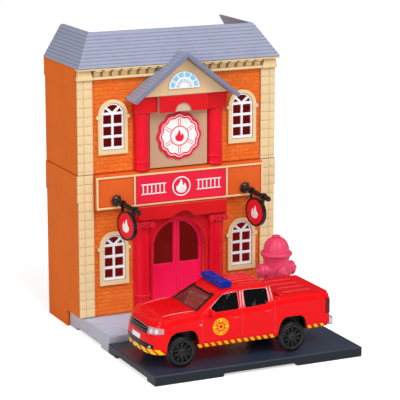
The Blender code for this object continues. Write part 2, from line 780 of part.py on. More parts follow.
def make_gable(parent):
    """Two roof slabs over the portico, the tan pediment under them and its fanlight."""
    slope, drop, tip_x, tip_z = gable_lines()
    right = [(0, GABLE_APEX_Z - drop), (tip_x, tip_z), (GABLE_HALF, GABLE_TIP_Z), (0, GABLE_APEX_Z)]
    chevron = right[:3] + [right[3]] + [(-x, z) for x, z in reversed(right[1:3])]
    slabs = solid("gable_roof", prism(chevron, "Y", -GABLE_FRONT, BUILDING_DEPTH / 2),
                  "grey_roof_plastic", parent)
    cut(slabs, prism(facade_profile(), "X", -BUILDING_WIDTH, BUILDING_WIDTH))
    top = GABLE_APEX_Z - drop - GAP / math.cos(slope)
    base_half = (top - PEDIMENT_BASE_Z) / math.tan(slope)
    triangle = [(-base_half, PEDIMENT_BASE_Z), (base_half, PEDIMENT_BASE_Z), (0, top)]
    pediment = solid("pediment", prism(triangle, "Y", -PEDIMENT_FRONT, SEAT_Y), "tan_plastic", parent)
    cut(pediment, prism(facade_profile(), "X", -BUILDING_WIDTH, BUILDING_WIDTH))
    front = -PEDIMENT_FRONT - GAP
    plate = [(FANLIGHT_RADIUS, FANLIGHT_Z)] + arc_points((0, FANLIGHT_Z), FANLIGHT_RADIUS, 0, 180)[1:]
    fanlight = solid("fanlight", prism(plate, "Y", front - FANLIGHT_PROUD, front), "white_plastic", parent)
    panes = bmesh.new()
    for near_share, far_share in (FANLIGHT_OUTER_SHARE, FANLIGHT_INNER_SHARE):
        for pane in range(FANLIGHT_PANES):
            pane_angle = 180 / FANLIGHT_PANES
            start = pane_angle * (pane + (1 - FANLIGHT_PANE_ANGLE_SHARE) / 2)
            end = start + pane_angle * FANLIGHT_PANE_ANGLE_SHARE
            outline = arc_points((0, FANLIGHT_Z), FANLIGHT_RADIUS * far_share, start, end, 2)
            outline += arc_points((0, FANLIGHT_Z), FANLIGHT_RADIUS * near_share, end, start, 1)
            prism(outline, "Y", front - FANLIGHT_PROUD - OVERRUN, front - FANLIGHT_PROUD / 2, panes)
    cut(fanlight, panes)


# Upper portico


def column(name, x, radius, low, top, rings, parent, look="red_plastic"):
    """A half-round column against the wall, with proud rings of (height, thickness)."""
    levels = [(radius, low)]
    wide = radius + COLUMN_RING
    for at, thick in rings:
        levels += [(radius, at), (wide, at), (wide, at + thick), (radius, at + thick)]
    levels.append((radius, top))
    levels = [level for n, level in enumerate(levels) if n == 0 or level != levels[n - 1]]
    shape = bmesh.new()
    outlines = []
    for size, z in levels:
        outlines.append([(px, py, z) for px, py in arc_points((x, SEAT_Y), size, 180, 360)])
    return solid(name, skin(shape, outlines), look, parent, smooth=True)


def make_upper_portico(parent):
    """Columns, lintel blocks, the tan back panel and the round badge."""
    column_top = LINTEL_LOW - GAP
    rings = ((UPPER_RING_Z, COLUMN_RING_HEIGHT), (column_top - COLUMN_CAP_HEIGHT, COLUMN_CAP_HEIGHT))
    for sign in (-1, 1):
        word = side_name(sign)
        column(f"upper_{word}_column", sign * UPPER_COLUMN_X, UPPER_COLUMN_RADIUS, UPPER_BASE_Z, column_top,
               rings, parent)
    lintel_top = PEDIMENT_BASE_Z - GAP
    lintel = solid("upper_lintel", block((-LINTEL_HALF, -LINTEL_SIDE_FRONT, LINTEL_LOW),
                                         (LINTEL_HALF, SEAT_Y, lintel_top)), "red_plastic", parent)
    core_half = LINTEL_CENTRE_HALF + GAP
    cut(lintel, block((-core_half, -PEDIMENT_FRONT, LINTEL_LOW - OVERRUN),
                      (core_half, 0, lintel_top + OVERRUN)))
    face_back = LINTEL_FACE - PEDIMENT_FRONT
    solid("lintel_core", block((-LINTEL_CENTRE_HALF, face_back + GAP, LINTEL_LOW),
                               (LINTEL_CENTRE_HALF, -GAP, lintel_top)), "tan_plastic", parent)
    face = solid("lintel_face", block((-LINTEL_CENTRE_HALF, -PEDIMENT_FRONT, LINTEL_LOW),
                                      (LINTEL_CENTRE_HALF, face_back, lintel_top)), "red_plastic", parent)
    notch = [(NOTCH_RADIUS, -OVERRUN), (NOTCH_RADIUS, OVERRUN)]
    cut(face, turned(notch, "Y", (0, -PEDIMENT_FRONT, LINTEL_LOW)))
    solid("upper_panel", block((-PANEL_HALF, 0, PANEL_LOW), (PANEL_HALF, SEAT_Y, LINTEL_LOW - GAP)),
          "brown_tan_plastic", parent)
    make_badge(parent)


def badge_outline(radius):
    """A round outline with shallow scallops."""
    steps = BADGE_LOBES * 4
    points = []
    for step in range(steps):
        angle = math.tau * step / steps
        reach = radius + BADGE_LOBE_RISE * abs(math.cos(angle * BADGE_LOBES / 2))
        points.append((reach * math.cos(angle), BADGE_Z + reach * math.sin(angle)))
    return points


def make_badge(parent):
    """The round badge: a scalloped plate with a raised ring and a raised boss."""
    front = -GAP - BADGE_THICK
    badge = solid("badge", prism(badge_outline(BADGE_RADIUS - BADGE_LOBE_RISE), "Y", front, -GAP),
                  "red_plastic", parent)
    ring_out = BADGE_RADIUS - BADGE_RING_WIDTH
    ring_in = ring_out - BADGE_RING_WIDTH
    profile = [(ring_out, front - OVERRUN), (ring_out, front + BADGE_RELIEF),
               (ring_in, front + BADGE_RELIEF), (ring_in, front - OVERRUN)]
    return cut(badge, turned(profile, "Y", (0, 0, BADGE_Z), closed=True))


# Pilasters and cornice


def make_pilaster(name, sign, low, top, head, parent):
    """A flat pilaster in courses of blocks, with a slightly wider head where the storey's band is."""
    shift = sign * GAP
    inner, outer = sign * PILASTER_IN, sign * BODY_WALL_HALF
    outline = [(inner, low), (outer, low)]
    if head:
        wide = sign * HALF
        outline += [(outer, top - head - BAND_SLOPE), (wide, top - head), (wide, top)]
    else:
        outline += [(outer, top)]
    outline.append((inner, top))
    piece = solid(name, prism(outline, "Y", 0, SEAT_Y), "tan_plastic", parent)
    grooves = bmesh.new()
    courses = round((top - low) / PILASTER_COURSE)
    pitch = (top - low) / courses
    ends = sorted((inner - sign * OVERRUN, sign * HALF + sign * OVERRUN))
    for course in range(1, courses):
        z = low + pitch * course
        slot = [(-PILASTER_GROOVE, z - PILASTER_GROOVE), (PILASTER_GROOVE, z),
                (-PILASTER_GROOVE, z + PILASTER_GROOVE)]
        prism(slot, "X", ends[0], ends[1], grooves)
    cut(piece, grooves)
    joint = outer - sign * PILASTER_JOINT_X + shift
    upright = [(joint - PILASTER_GROOVE, -PILASTER_GROOVE), (joint, PILASTER_GROOVE),
               (joint + PILASTER_GROOVE, -PILASTER_GROOVE)]
    return cut(piece, prism(upright, "Z", low - OVERRUN, top + OVERRUN))


def make_cornice(parent):
    """Ledge, band, wedge brackets, end capitals and the strip under the eave, moulded as one."""
    strip_low = UPPER_TOP_Z - EAVE_STRIP
    ledge_half = BODY_WALL_HALF
    outline = [
        (SEAT_Y, CAPITAL_LOW),
        (-LEDGE_PROUD, CAPITAL_LOW),
        (-LEDGE_PROUD, CAPITAL_LOW + LEDGE_HEIGHT),
        (-CORNICE_BAND_FRONT, CAPITAL_LOW + LEDGE_HEIGHT),
        (-CORNICE_BAND_FRONT, strip_low),
        (-EAVE_STRIP_FRONT, strip_low),
        (-EAVE_STRIP_FRONT, UPPER_TOP_Z),
        (SEAT_Y, UPPER_TOP_Z),
    ]
    cornice = solid("cornice", prism(outline, "X", -ledge_half, ledge_half), "tan_plastic", parent)
    bracket = [
        (-CORNICE_BAND_FRONT + GAP, CAPITAL_LOW + LEDGE_HEIGHT - GAP),
        (-CORNICE_BAND_FRONT - GAP, CAPITAL_LOW + LEDGE_HEIGHT - GAP),
        (-BRACKET_REACH, strip_low - EAVE_STRIP),
        (-BRACKET_REACH, strip_low + GAP),
        (-CORNICE_BAND_FRONT + GAP, strip_low + GAP),
    ]
    brackets = bmesh.new()
    first = -BRACKET_PITCH * (BRACKET_COUNT - 1) / 2
    for step in range(BRACKET_COUNT):
        x = first + BRACKET_PITCH * step
        if abs(x) + BRACKET_WIDTH < PILASTER_IN:
            prism(bracket, "X", x - BRACKET_WIDTH / 2, x + BRACKET_WIDTH / 2, brackets)
    fuse(cornice, brackets)
    for sign in (-1, 1):
        ends = sorted((sign * PILASTER_IN, sign * (HALF + EAVE_STRIP_END)))
        fuse(cornice, block((ends[0], -LEDGE_PROUD - CAPITAL_PROUD, CAPITAL_LOW - GAP / 2),
                            (ends[1], SEAT_Y - GAP / 2, strip_low + GAP)))
    return cornice


# Windows


def make_window(name, x, sill, parent):
    """A tan surround with a sill and ears, and the white glazing bars inside it."""
    spring = sill + SURROUND_HEIGHT - SURROUND_HALF
    outer = arched(x, SURROUND_HALF, sill, spring)
    surround = solid(f"{name}_surround", prism(outer, "Y", -SURROUND_PROUD, SEAT_Y), "tan_plastic", parent)
    ear_reach = SURROUND_HALF + EAR_REACH
    fuse(surround, block((x - ear_reach, -SURROUND_PROUD - GAP, spring - EAR_HEIGHT),
                         (x + ear_reach, SEAT_Y - GAP / 2, spring)))
    inner_half = SURROUND_HALF - SURROUND_BAND
    inner_low = sill + SURROUND_SILL
    cut(surround, prism(arched(x, inner_half, inner_low, spring), "Y", -OVERRUN, OVERRUN))
    half = inner_half - GAP
    low = inner_low + GAP
    outline = arched(x, half, low, spring)
    frame = solid(f"{name}_frame", prism(outline, "Y", FRAME_FRONT, FRAME_FRONT + FRAME_THICK),
                  "white_plastic", parent)
    panes = bmesh.new()
    top = spring - CROSSBAR / 2
    first = low + FRAME_BOTTOM_RAIL
    pane_height = (top - first - CROSSBAR * (PANE_ROWS - 1)) / PANE_ROWS
    for row in range(PANE_ROWS):
        z = first + row * (pane_height + CROSSBAR)
        for sign in (-1, 1):
            ends = sorted((x + sign * MUNTIN / 2, x + sign * (half - FRAME_RAIL)))
            block((ends[0], FRAME_FRONT - OVERRUN, z), (ends[1], FRAME_FRONT + FRAME_THICK + OVERRUN,
                                                        z + pane_height), panes)
    cut(frame, panes)
    return cut(frame, fan_panes(x, spring, half - FRAME_RAIL))


def fan_panes(x, spring, reach):
    """The three panes of the half-round head, between the bar below and two sloping bars."""
    shape = bmesh.new()
    floor = spring + CROSSBAR / 2
    for start, end in FAN_ANGLES:
        spread = math.degrees(FAN_BAR / 2 / reach)
        low_angle = math.degrees(math.asin(CROSSBAR / 2 / reach)) if start == 0 else start + spread
        high_angle = 180 - math.degrees(math.asin(CROSSBAR / 2 / reach)) if end == 180 else end - spread
        outline = arc_points((x, spring), reach, low_angle, high_angle, FAN_STEPS)
        middle = math.radians((start + end) / 2)
        hub = FAN_HUB + FAN_BAR
        corner = (x + hub * math.cos(middle), spring + hub * math.sin(middle))
        if start == 0:
            corner = (x + hub, floor)
        if end == 180:
            corner = (x - hub, floor)
        outline.append(corner)
        prism(outline, "Y", FRAME_FRONT - OVERRUN, FRAME_FRONT + FRAME_THICK + OVERRUN, shape)
    return shape


# Belt and entablature


def make_belt(parent):
    """The orange belt between the storeys, its tan strips, the red sign board and the red entablature."""
    ledge_y = BELT_LEDGE_SETBACK - BELT_FRONT
    outline = [(SEAT_Y, BELT_LOW), (-BELT_FRONT, BELT_LOW), (-BELT_FRONT, BELT_TOP), (ledge_y, LOWER_TOP_Z),
               (SEAT_Y, LOWER_TOP_Z)]
    solid("belt", prism(outline, "X", -BELT_HALF, BELT_HALF), "orange_plastic", parent)
    back = -BELT_FRONT - GAP
    front = back - STRIP_THICK
    strips = solid("belt_strips", block((-BELT_HALF, front, BELT_LOW), (BELT_HALF, back, BELT_TOP)),
                   "tan_plastic", parent)
    fields = bmesh.new()
    low, top = BELT_LOW + STRIP_WIDTH, BELT_TOP - STRIP_WIDTH
    bounds = (-BELT_HALF + STRIP_WIDTH, -DIVIDER_X - STRIP_WIDTH / 2, -DIVIDER_X + STRIP_WIDTH / 2,
              DIVIDER_X - STRIP_WIDTH / 2, DIVIDER_X + STRIP_WIDTH / 2, BELT_HALF - STRIP_WIDTH)
    for start, end in zip(bounds[0::2], bounds[1::2]):
        block((start, front - OVERRUN, low), (end, back + OVERRUN, top), fields)
    cut(strips, fields)
    half = DIVIDER_X - STRIP_WIDTH / 2 - GAP
    solid("sign_board", block((-half, back - BOARD_THICK, low + GAP), (half, back, top - GAP)),
          "red_plastic", parent)
    beam = block((-ENTABLATURE_HALF, -ENTABLATURE_FRONT, ENTABLATURE_LOW),
                 (ENTABLATURE_HALF, SEAT_Y, BELT_LOW - GAP))
    entablature = solid("entablature", beam, "red_plastic", parent)
    radius = (SOFFIT_ARCH_HALF ** 2 + SOFFIT_ARCH_RISE ** 2) / (2 * SOFFIT_ARCH_RISE)
    centre_z = ENTABLATURE_LOW + SOFFIT_ARCH_RISE - radius
    depth = ENTABLATURE_FRONT + SEAT_Y
    cut(entablature, turned([(radius, -OVERRUN), (radius, depth + OVERRUN)], "Y",
                            (0, -ENTABLATURE_FRONT, centre_z), ROUND_STEPS * 2))


# Lower portico and doors


def portico_capital(sign):
    """A capital block, and the height of its underside; it is left long above, to be trimmed."""
    x = sign * LOWER_COLUMN_X
    low = ENTABLATURE_LOW - GAP - CAPITAL_HEIGHT
    return block((x - LOWER_CAPITAL_HALF, -LOWER_CAPITAL_FRONT, low),
                 (x + LOWER_CAPITAL_HALF, SEAT_Y - GAP, ENTABLATURE_LOW + OVERRUN)), low


def make_portico(parent):
    """The red plate round the doorway, its raised arch and the two columns with their capitals."""
    top = ENTABLATURE_LOW - GAP
    below = WALL_BASE_Z - OVERRUN
    plate = solid("lower_portico", block((-PORTICO_HALF, PORTICO_FACE, below - OVERRUN),
                                         (PORTICO_HALF, SEAT_Y, top + OVERRUN * 2)),
                  "red_plastic", parent, smooth=True)
    ridge = arched(0, DOORWAY_HALF + DOORWAY_RIDGE, below, DOORWAY_SPRING_Z, ROUND_STEPS)
    fuse(plate, prism(ridge, "Y", PORTICO_FACE - DOORWAY_RIDGE_PROUD, SEAT_Y - GAP))
    cut(plate, prism(arched(0, DOORWAY_HALF, below - OVERRUN * 2, DOORWAY_SPRING_Z, ROUND_STEPS),
                     "Y", -OVERRUN, OVERRUN))
    for sign in (-1, 1):
        x = sign * LOWER_COLUMN_X
        capital, capital_low = portico_capital(sign)
        levels = [(LOWER_COLUMN_RADIUS + COLUMN_RING, below),
                  (LOWER_COLUMN_RADIUS + COLUMN_RING, WALL_BASE_Z + BASE_HEIGHT),
                  (LOWER_COLUMN_RADIUS, WALL_BASE_Z + BASE_HEIGHT),
                  (LOWER_COLUMN_RADIUS, LOWER_RING_Z),
                  (LOWER_COLUMN_RADIUS + COLUMN_RING, LOWER_RING_Z),
                  (LOWER_COLUMN_RADIUS + COLUMN_RING, LOWER_RING_Z + COLUMN_RING_HEIGHT),
                  (LOWER_COLUMN_RADIUS, LOWER_RING_Z + COLUMN_RING_HEIGHT),
                  (LOWER_COLUMN_RADIUS, capital_low + GAP)]
        outlines = [[(px, py, z) for px, py in arc_points((x, SEAT_Y - GAP), size, 180, 360)]
                    for size, z in levels]
        fuse(plate, skin(bmesh.new(), outlines))
        fuse(plate, capital)
        for end in (-1, 1):
            scroll_x = x + end * (LOWER_CAPITAL_HALF - SCROLL_RADIUS / 2)
            reach = LOWER_CAPITAL_FRONT + COLUMN_RING
            fuse(plate, turned([(SCROLL_RADIUS, -reach), (SCROLL_RADIUS, SEAT_Y - GAP / 2)], "Y",
                               (scroll_x, 0, capital_low + SCROLL_RADIUS - SCROLL_DROP), SMALL_STEPS))
    keep(plate, block((-BELT_HALF, -ENTABLATURE_FRONT, WALL_BASE_Z), (BELT_HALF, SEAT_Y + OVERRUN, top)))


def make_doors(parent):
    """Two leaves with arched heads and open windows, each with a barrel and a pivot at its top and bottom."""
    front = WALL_BACK + LEAF_CLEARANCE
    low = LINER_FLOOR_TOP + GAP
    pivot_low = WALL_BASE_Z + GAP
    pivot_top = lug_base_z() + LUG_HEIGHT
    for sign in (-1, 1):
        axis_point = (sign * HINGE_X, HINGE_Y, 0)
        start_angle = math.degrees(math.acos(LEAF_MEETING_GAP / LEAF_RADIUS))
        arc = arc_points((0, DOORWAY_SPRING_Z), LEAF_RADIUS, 0, start_angle)
        outline = [(LEAF_MEETING_GAP, low), (HINGE_X, low), (HINGE_X, DOORWAY_SPRING_Z)] + arc
        board = prism(mirrored(sign, outline), "Y", front, front + LEAF_THICK)
        leaf = solid(f"{side_name(sign)}_door", board, "pink_red_plastic", parent, smooth=True,
                     origin=axis_point)
        barrel = [(BARREL_RADIUS, low), (BARREL_RADIUS, DOORWAY_SPRING_Z)]
        fuse(leaf, turned(barrel, "Z", axis_point, SMALL_STEPS * 2))
        pivot = [(PIVOT_RADIUS, pivot_low), (PIVOT_RADIUS, pivot_top)]
        fuse(leaf, turned(pivot, "Z", axis_point, SMALL_STEPS))
        stile = LEAF_MEETING_GAP + LEAF_MEETING_STILE
        top_angle = math.degrees(math.acos(stile / LEAF_WINDOW_RADIUS))
        window = [(stile, LEAF_WINDOW_Z), (LEAF_WINDOW_RADIUS, LEAF_WINDOW_Z)]
        window += arc_points((0, DOORWAY_SPRING_Z), LEAF_WINDOW_RADIUS, 0, top_angle)
        cut(leaf, prism(mirrored(sign, window), "Y", front - OVERRUN, front + LEAF_THICK + OVERRUN))


# Hanging signs


def make_signs(parent):
    """A bracket on each side of the belt, and a round sign that swings from its bar."""
    face = -BELT_FRONT - GAP
    for sign in (-1, 1):
        word = side_name(sign)
        frame = empty(f"{word}_sign_frame", (sign * SIGN_X, face, SIGN_Z), (SIGN_DROOP, 0, SIGN_YAW), parent)
        dome = [(ROSETTE_RADIUS * across, -ROSETTE_THICK * out) for across, out in ROSETTE_SHARES]
        bracket = solid(f"{word}_sign_bracket", turned(dome, "Y", (sign * SIGN_X, face, SIGN_Z)),
                        "black_gloss_plastic", parent, smooth=True)
        bar = [(BAR_RADIUS, -ROSETTE_THICK / 2), (BAR_RADIUS, -BAR_LENGTH + BAR_CAP_LENGTH),
               (BAR_CAP_RADIUS, -BAR_LENGTH + BAR_CAP_LENGTH), (BAR_CAP_RADIUS, -BAR_LENGTH)]
        rod = turned(bar, "Y", (0, 0, 0), SMALL_STEPS)
        place = Matrix.LocRotScale(frame.location, frame.rotation_euler, None)
        bmesh.ops.transform(rod, matrix=place, verts=rod.verts)
        fuse(bracket, rod)
        make_sign_disc(word, frame)


def make_sign_disc(word, frame):
    """A round sign with a raised rim on both faces, hung from the bar by two eyes."""
    half = DISC_THICK / 2
    inner = DISC_RADIUS - DISC_RIM
    shallow = half - DISC_RECESS
    profile = [(inner, -shallow), (inner, -half), (DISC_RADIUS, -half), (DISC_RADIUS, half), (inner, half),
               (inner, shallow)]
    plate = turned(profile, "X", (0, -DISC_ALONG, -DISC_DROP), ROUND_STEPS + SMALL_STEPS)
    disc = solid(f"{word}_sign_disc", plate, "black_gloss_plastic", frame, smooth=True)
    for end in (-1, 1):
        y = -DISC_ALONG + end * LUG_SPREAD
        outer = BAR_RADIUS + GAP + SIGN_LUG_WALL
        width = SIGN_LUG_WIDTH / 2
        fuse(disc, turned([(outer, -width), (outer, width)], "Y", (0, y, 0), SMALL_STEPS))
        fuse(disc, block((-width, y - width + GAP, -DISC_DROP + DISC_RADIUS / 2),
                         (width, y + width - GAP, 0)))
        eye = [(BAR_RADIUS + GAP, -width - OVERRUN / 2), (BAR_RADIUS + GAP, width + OVERRUN / 2)]
        cut(disc, turned(eye, "Y", (0, y, 0), SMALL_STEPS))
    return disc


# Ground pieces


def footed_slab(name, low, high, look, parent):
    """A slab whose underside is recessed along the middle of each side, so that it stands on its corners."""
    slab = solid(name, block(low, high), look, parent)
    recess = bmesh.new()
    block((low[0] + FOOT_LONG, low[1] - OVERRUN, low[2] - OVERRUN),
          (high[0] - FOOT_LONG, high[1] + OVERRUN, low[2] + FOOT_RECESS), recess)
    cut(slab, recess)
    across = block((low[0] - OVERRUN, low[1] + FOOT_SHORT, low[2] - OVERRUN),
                   (high[0] + OVERRUN, high[1] - FOOT_SHORT, low[2] + FOOT_RECESS))
    return cut(slab, across)


def make_ground(parent):
    """The raised sidewalk that the station stands on, and the road plate in front of it."""
    left, right = RIGHT_X - FOREGROUND_LENGTH, RIGHT_X
    walk = footed_slab("sidewalk", (left, -WALK_DEPTH + GAP, 0), (right, WALK_UNDER, WALK_HEIGHT),
                       "grey_stone_plastic", parent)
    bevel(walk, EDGE_BEVEL)
    plate = footed_slab("road_plate", (left, FRONT_Y, 0), (right, -WALK_DEPTH, PLATE_HEIGHT),
                        "road_plastic", parent)
    bevel(plate, EDGE_BEVEL)


# Hydrant


def make_hydrant(parent):
    """The oversize hydrant: base, barrel, flange and dome turned as one, with three capped outlets."""
    flange_top = HYDRANT_FLANGE_Z + HYDRANT_FLANGE_THICK
    dome_top = HYDRANT_HEIGHT - DOME_CAP_HEIGHT
    profile = [(HYDRANT_BASE_RADIUS, 0), (HYDRANT_BASE_RADIUS, HYDRANT_BASE_THICK),
               (BARREL_BODY_RADIUS, HYDRANT_BASE_THICK),
               (BARREL_BODY_RADIUS, HYDRANT_FLANGE_Z - HYDRANT_FLANGE_LIP),
               (HYDRANT_FLANGE_RADIUS - HYDRANT_FLANGE_LIP, HYDRANT_FLANGE_Z),
               (HYDRANT_FLANGE_RADIUS, HYDRANT_FLANGE_Z + HYDRANT_FLANGE_LIP),
               (HYDRANT_FLANGE_RADIUS, flange_top - HYDRANT_FLANGE_LIP),
               (HYDRANT_FLANGE_RADIUS - HYDRANT_FLANGE_LIP, flange_top), (DOME_RADIUS, flange_top)]
    last_angle = math.acos(DOME_CAP_RADIUS / DOME_RADIUS)
    rise = (dome_top - flange_top) / math.sin(last_angle)
    for step in range(1, DOME_STEPS + 1):
        angle = last_angle * step / DOME_STEPS
        profile.append((DOME_RADIUS * math.cos(angle), flange_top + rise * math.sin(angle)))
    profile.append((DOME_CAP_RADIUS, HYDRANT_HEIGHT))
    foot = (HYDRANT_X, HYDRANT_Y, WALL_BASE_Z)
    hydrant = solid("hydrant", turned(profile, "Z", foot), "hydrant_plastic", parent, smooth=True)
    nozzle_z = WALL_BASE_Z + NOZZLE_Z
    rim = NOZZLE_RADIUS + NOZZLE_RING
    ring_start = BARREL_BODY_RADIUS + NOZZLE_RING
    for axis, sign in (("X", -1), ("X", 1), ("Y", -1)):
        outlet = [(NOZZLE_RADIUS, 0), (NOZZLE_RADIUS, sign * ring_start), (rim, sign * ring_start),
                  (rim, sign * (ring_start + NOZZLE_RING_REACH)),
                  (NOZZLE_RADIUS, sign * (ring_start + NOZZLE_RING_REACH)),
                  (NOZZLE_RADIUS, sign * (NOZZLE_REACH - NOZZLE_CROWN)),
                  (NOZZLE_RADIUS - NOZZLE_CROWN, sign * NOZZLE_REACH)]
        fuse(hydrant, turned(outlet, axis, (HYDRANT_X, HYDRANT_Y, nozzle_z), NOZZLE_STEPS))
    return hydrant


# Truck


def nose_sections():
    """Sections of the nose: x, half width, sill z, shoulder z, half width of the top, top z."""
    rows = []
    for along, wide, sill, shoulder, top_wide, top in NOSE_SHARES:
        rows.append((TRUCK_FRONT * along, BODY_HALF * wide, SILL_Z * sill, NOSE_TOP_Z * shoulder,
                     BODY_HALF * top_wide, NOSE_TOP_Z * top))
    rows.append((0, BODY_HALF, SILL_Z, BELTLINE_Z * HOOD_RISE_SHARE, BODY_HALF * HOOD_WIDTH_SHARE,
                 COWL_Z * HOOD_RISE_SHARE))
    return rows


def cab_sections():
    """Sections of the cab, from the cowl to its rear wall."""
    rows = [(COWL_X, BODY_HALF, SILL_Z, BELTLINE_Z, BODY_HALF * HOOD_WIDTH_SHARE, COWL_Z)]
    for x, crown in ((ROOF_FRONT_X, ROOF_END_SHARE), ((ROOF_FRONT_X + ROOF_REAR_X) / 2, 1),
                     (ROOF_REAR_X, ROOF_END_SHARE)):
        rows.append((x, BODY_HALF, SILL_Z, BELTLINE_Z, ROOF_HALF * crown, TRUCK_ROOF_Z * crown))
    rows.append((CAB_REAR_X, BODY_HALF, SILL_Z, RAIL_Z - RAIL_ROUND, BODY_HALF - RAIL_ROUND, RAIL_Z))
    return rows


def bed_sections():
    """Sections of the bed behind the cab, the last one rounded off at the tailgate."""
    rail = RAIL_Z - RAIL_ROUND
    bed = BODY_HALF - RAIL_ROUND
    return [
        (WHEELBASE, BODY_HALF, SILL_Z, rail, bed, RAIL_Z),
        (TRUCK_REAR - TAIL_ROUND, BODY_HALF, TAIL_SILL_Z, rail, bed, RAIL_Z),
        (TRUCK_REAR, BODY_HALF - RAIL_ROUND, TAIL_SILL_Z + RAIL_ROUND, rail - RAIL_ROUND, bed - RAIL_ROUND,
         RAIL_Z - RAIL_ROUND / 2),
    ]


def body_ring(section, inset=0, drop=0):
    """One cross section as a closed ring of points, drawn in by an inset all round but at the sill.

    The shoulder goes down with the inset where the top lies close above it, so that the ring never folds.
    A drop carries the sides straight down past the sill, for a shape that cuts.
    """
    x, half, sill, shoulder, top_half, top = section
    shoulder = min(shoulder, top - inset * 2)
    right = []
    if drop:
        right.append((half * SIDE_SHARES[0][0] - inset, sill - drop))
    for wide, up in SIDE_SHARES:
        right.append((half * wide - inset, sill + (shoulder - sill) * up))
    for wide, up in TOP_SHARES:
        right.append((top_half * wide - inset, shoulder + (top - shoulder) * up - inset))
    ring = right + [(-y, z) for y, z in reversed(right)]
    return [(x, y, z) for y, z in ring]


def body_solid():
    """The truck's outer form as one closed shape."""
    sections = nose_sections() + cab_sections() + bed_sections()
    shape = skin(bmesh.new(), [body_ring(section) for section in sections], ladder=True)
    bmesh.ops.triangulate(shape, faces=shape.faces)
    return shape


def cab_solid(inset, drop=0):
    """The room inside the cab: its sections drawn in, between the cowl and the rear wall."""
    first, *between, last = cab_sections()
    sections = [(first[0] + inset, *first[1:]), *between, (last[0] - inset, *last[1:])]
    shape = skin(bmesh.new(), [body_ring(section, inset, drop) for section in sections], ladder=True)
    bmesh.ops.triangulate(shape, faces=shape.faces)
    return shape


def window_outline(shares):
    """A side window from its shares of the cab's length and of the window band's height."""
    length = CAB_REAR_X - COWL_X
    height = WINDOW_TOP_Z - WINDOW_SILL_Z
    return [(COWL_X + length * along, WINDOW_SILL_Z + height * up) for along, up in shares]


def nose_pocket(slack):
    """Grille and intake openings at the nose; slack draws them in for the insert."""
    shape = bmesh.new()
    deep = TRUCK_FRONT + INSERT_DEPTH - slack
    for half, low, top in ((GRILLE_HALF, GRILLE_LOW_Z, GRILLE_TOP_Z),
                           (INTAKE_HALF, INTAKE_LOW_Z, INTAKE_TOP_Z)):
        block((TRUCK_FRONT - OVERRUN, -half + slack, low + slack), (deep, half - slack, top - slack), shape)
    return shape


def nose_link(slack):
    """The web that joins the grille to the intake behind the bumper."""
    deep = TRUCK_FRONT + INSERT_DEPTH
    half = GRILLE_HALF / 2 - slack
    return block((deep - INSERT_LINK + slack, -half, INTAKE_LOW_Z + INSERT_LINK / 2 + slack),
                 (deep - slack - GAP / 2, half, GRILLE_TOP_Z - INSERT_LINK / 2 - slack))


def lamp_pockets(slack):
    """Lens openings at the two front corners; slack draws them in for the lenses."""
    shape = bmesh.new()
    for sign in (-1, 1):
        ends = sorted((sign * (LAMP_INNER_Y + slack), sign * (BODY_HALF + OVERRUN)))
        block((TRUCK_FRONT - OVERRUN, ends[0], LAMP_LOW_Z + slack),
              (TRUCK_FRONT + LAMP_DEPTH - slack, ends[1], LAMP_TOP_Z - slack), shape)
    return shape


def lamp_link(slack):
    """The bar that joins the two lenses behind the grille."""
    deep = TRUCK_FRONT + LAMP_DEPTH
    half = LAMP_INNER_Y + LAMP_BAR - slack
    return block((deep - LAMP_BAR + slack, -half, LAMP_LOW_Z + LAMP_BAR / 2 + slack),
                 (deep - slack - GAP / 2, half, LAMP_TOP_Z - LAMP_BAR / 2 - slack))


def tail_pockets(slack):
    """Lens openings at the two rear corners; slack draws them in for the lenses."""
    shape = bmesh.new()
    for sign in (-1, 1):
        ends = sorted((sign * (BODY_HALF - TAIL_LAMP_WIDTH + slack), sign * (BODY_HALF + OVERRUN)))
        block((TRUCK_REAR - TAIL_LAMP_DEPTH - TAIL_BAR_DEPTH + slack, ends[0], TAIL_LAMP_LOW_Z + slack),
              (TRUCK_REAR + OVERRUN, ends[1], TAIL_LAMP_TOP_Z - slack), shape)
    return shape


def tail_link(slack):
    """The bar that joins the two tail lenses behind the tailgate."""
    rear = TRUCK_REAR - TAIL_LAMP_DEPTH
    half = BODY_HALF - TAIL_LAMP_WIDTH / 2 - slack
    low = TAIL_LAMP_LOW_Z + TAIL_LAMP_WIDTH / 2 + slack
    return block((rear - TAIL_BAR_DEPTH + slack + GAP / 2, -half, low),
                 (rear - slack, half, TAIL_LAMP_TOP_Z - TAIL_LAMP_WIDTH - slack))


def underbody_front():
    """Front end of the hollow under the body."""
    return TRUCK_FRONT + LAMP_DEPTH + BODY_SKIN


def underbody_rear():
    """Rear end of the hollow under the body."""
    return TRUCK_REAR - TAIL_LAMP_DEPTH - TAIL_BAR_DEPTH - BODY_SKIN


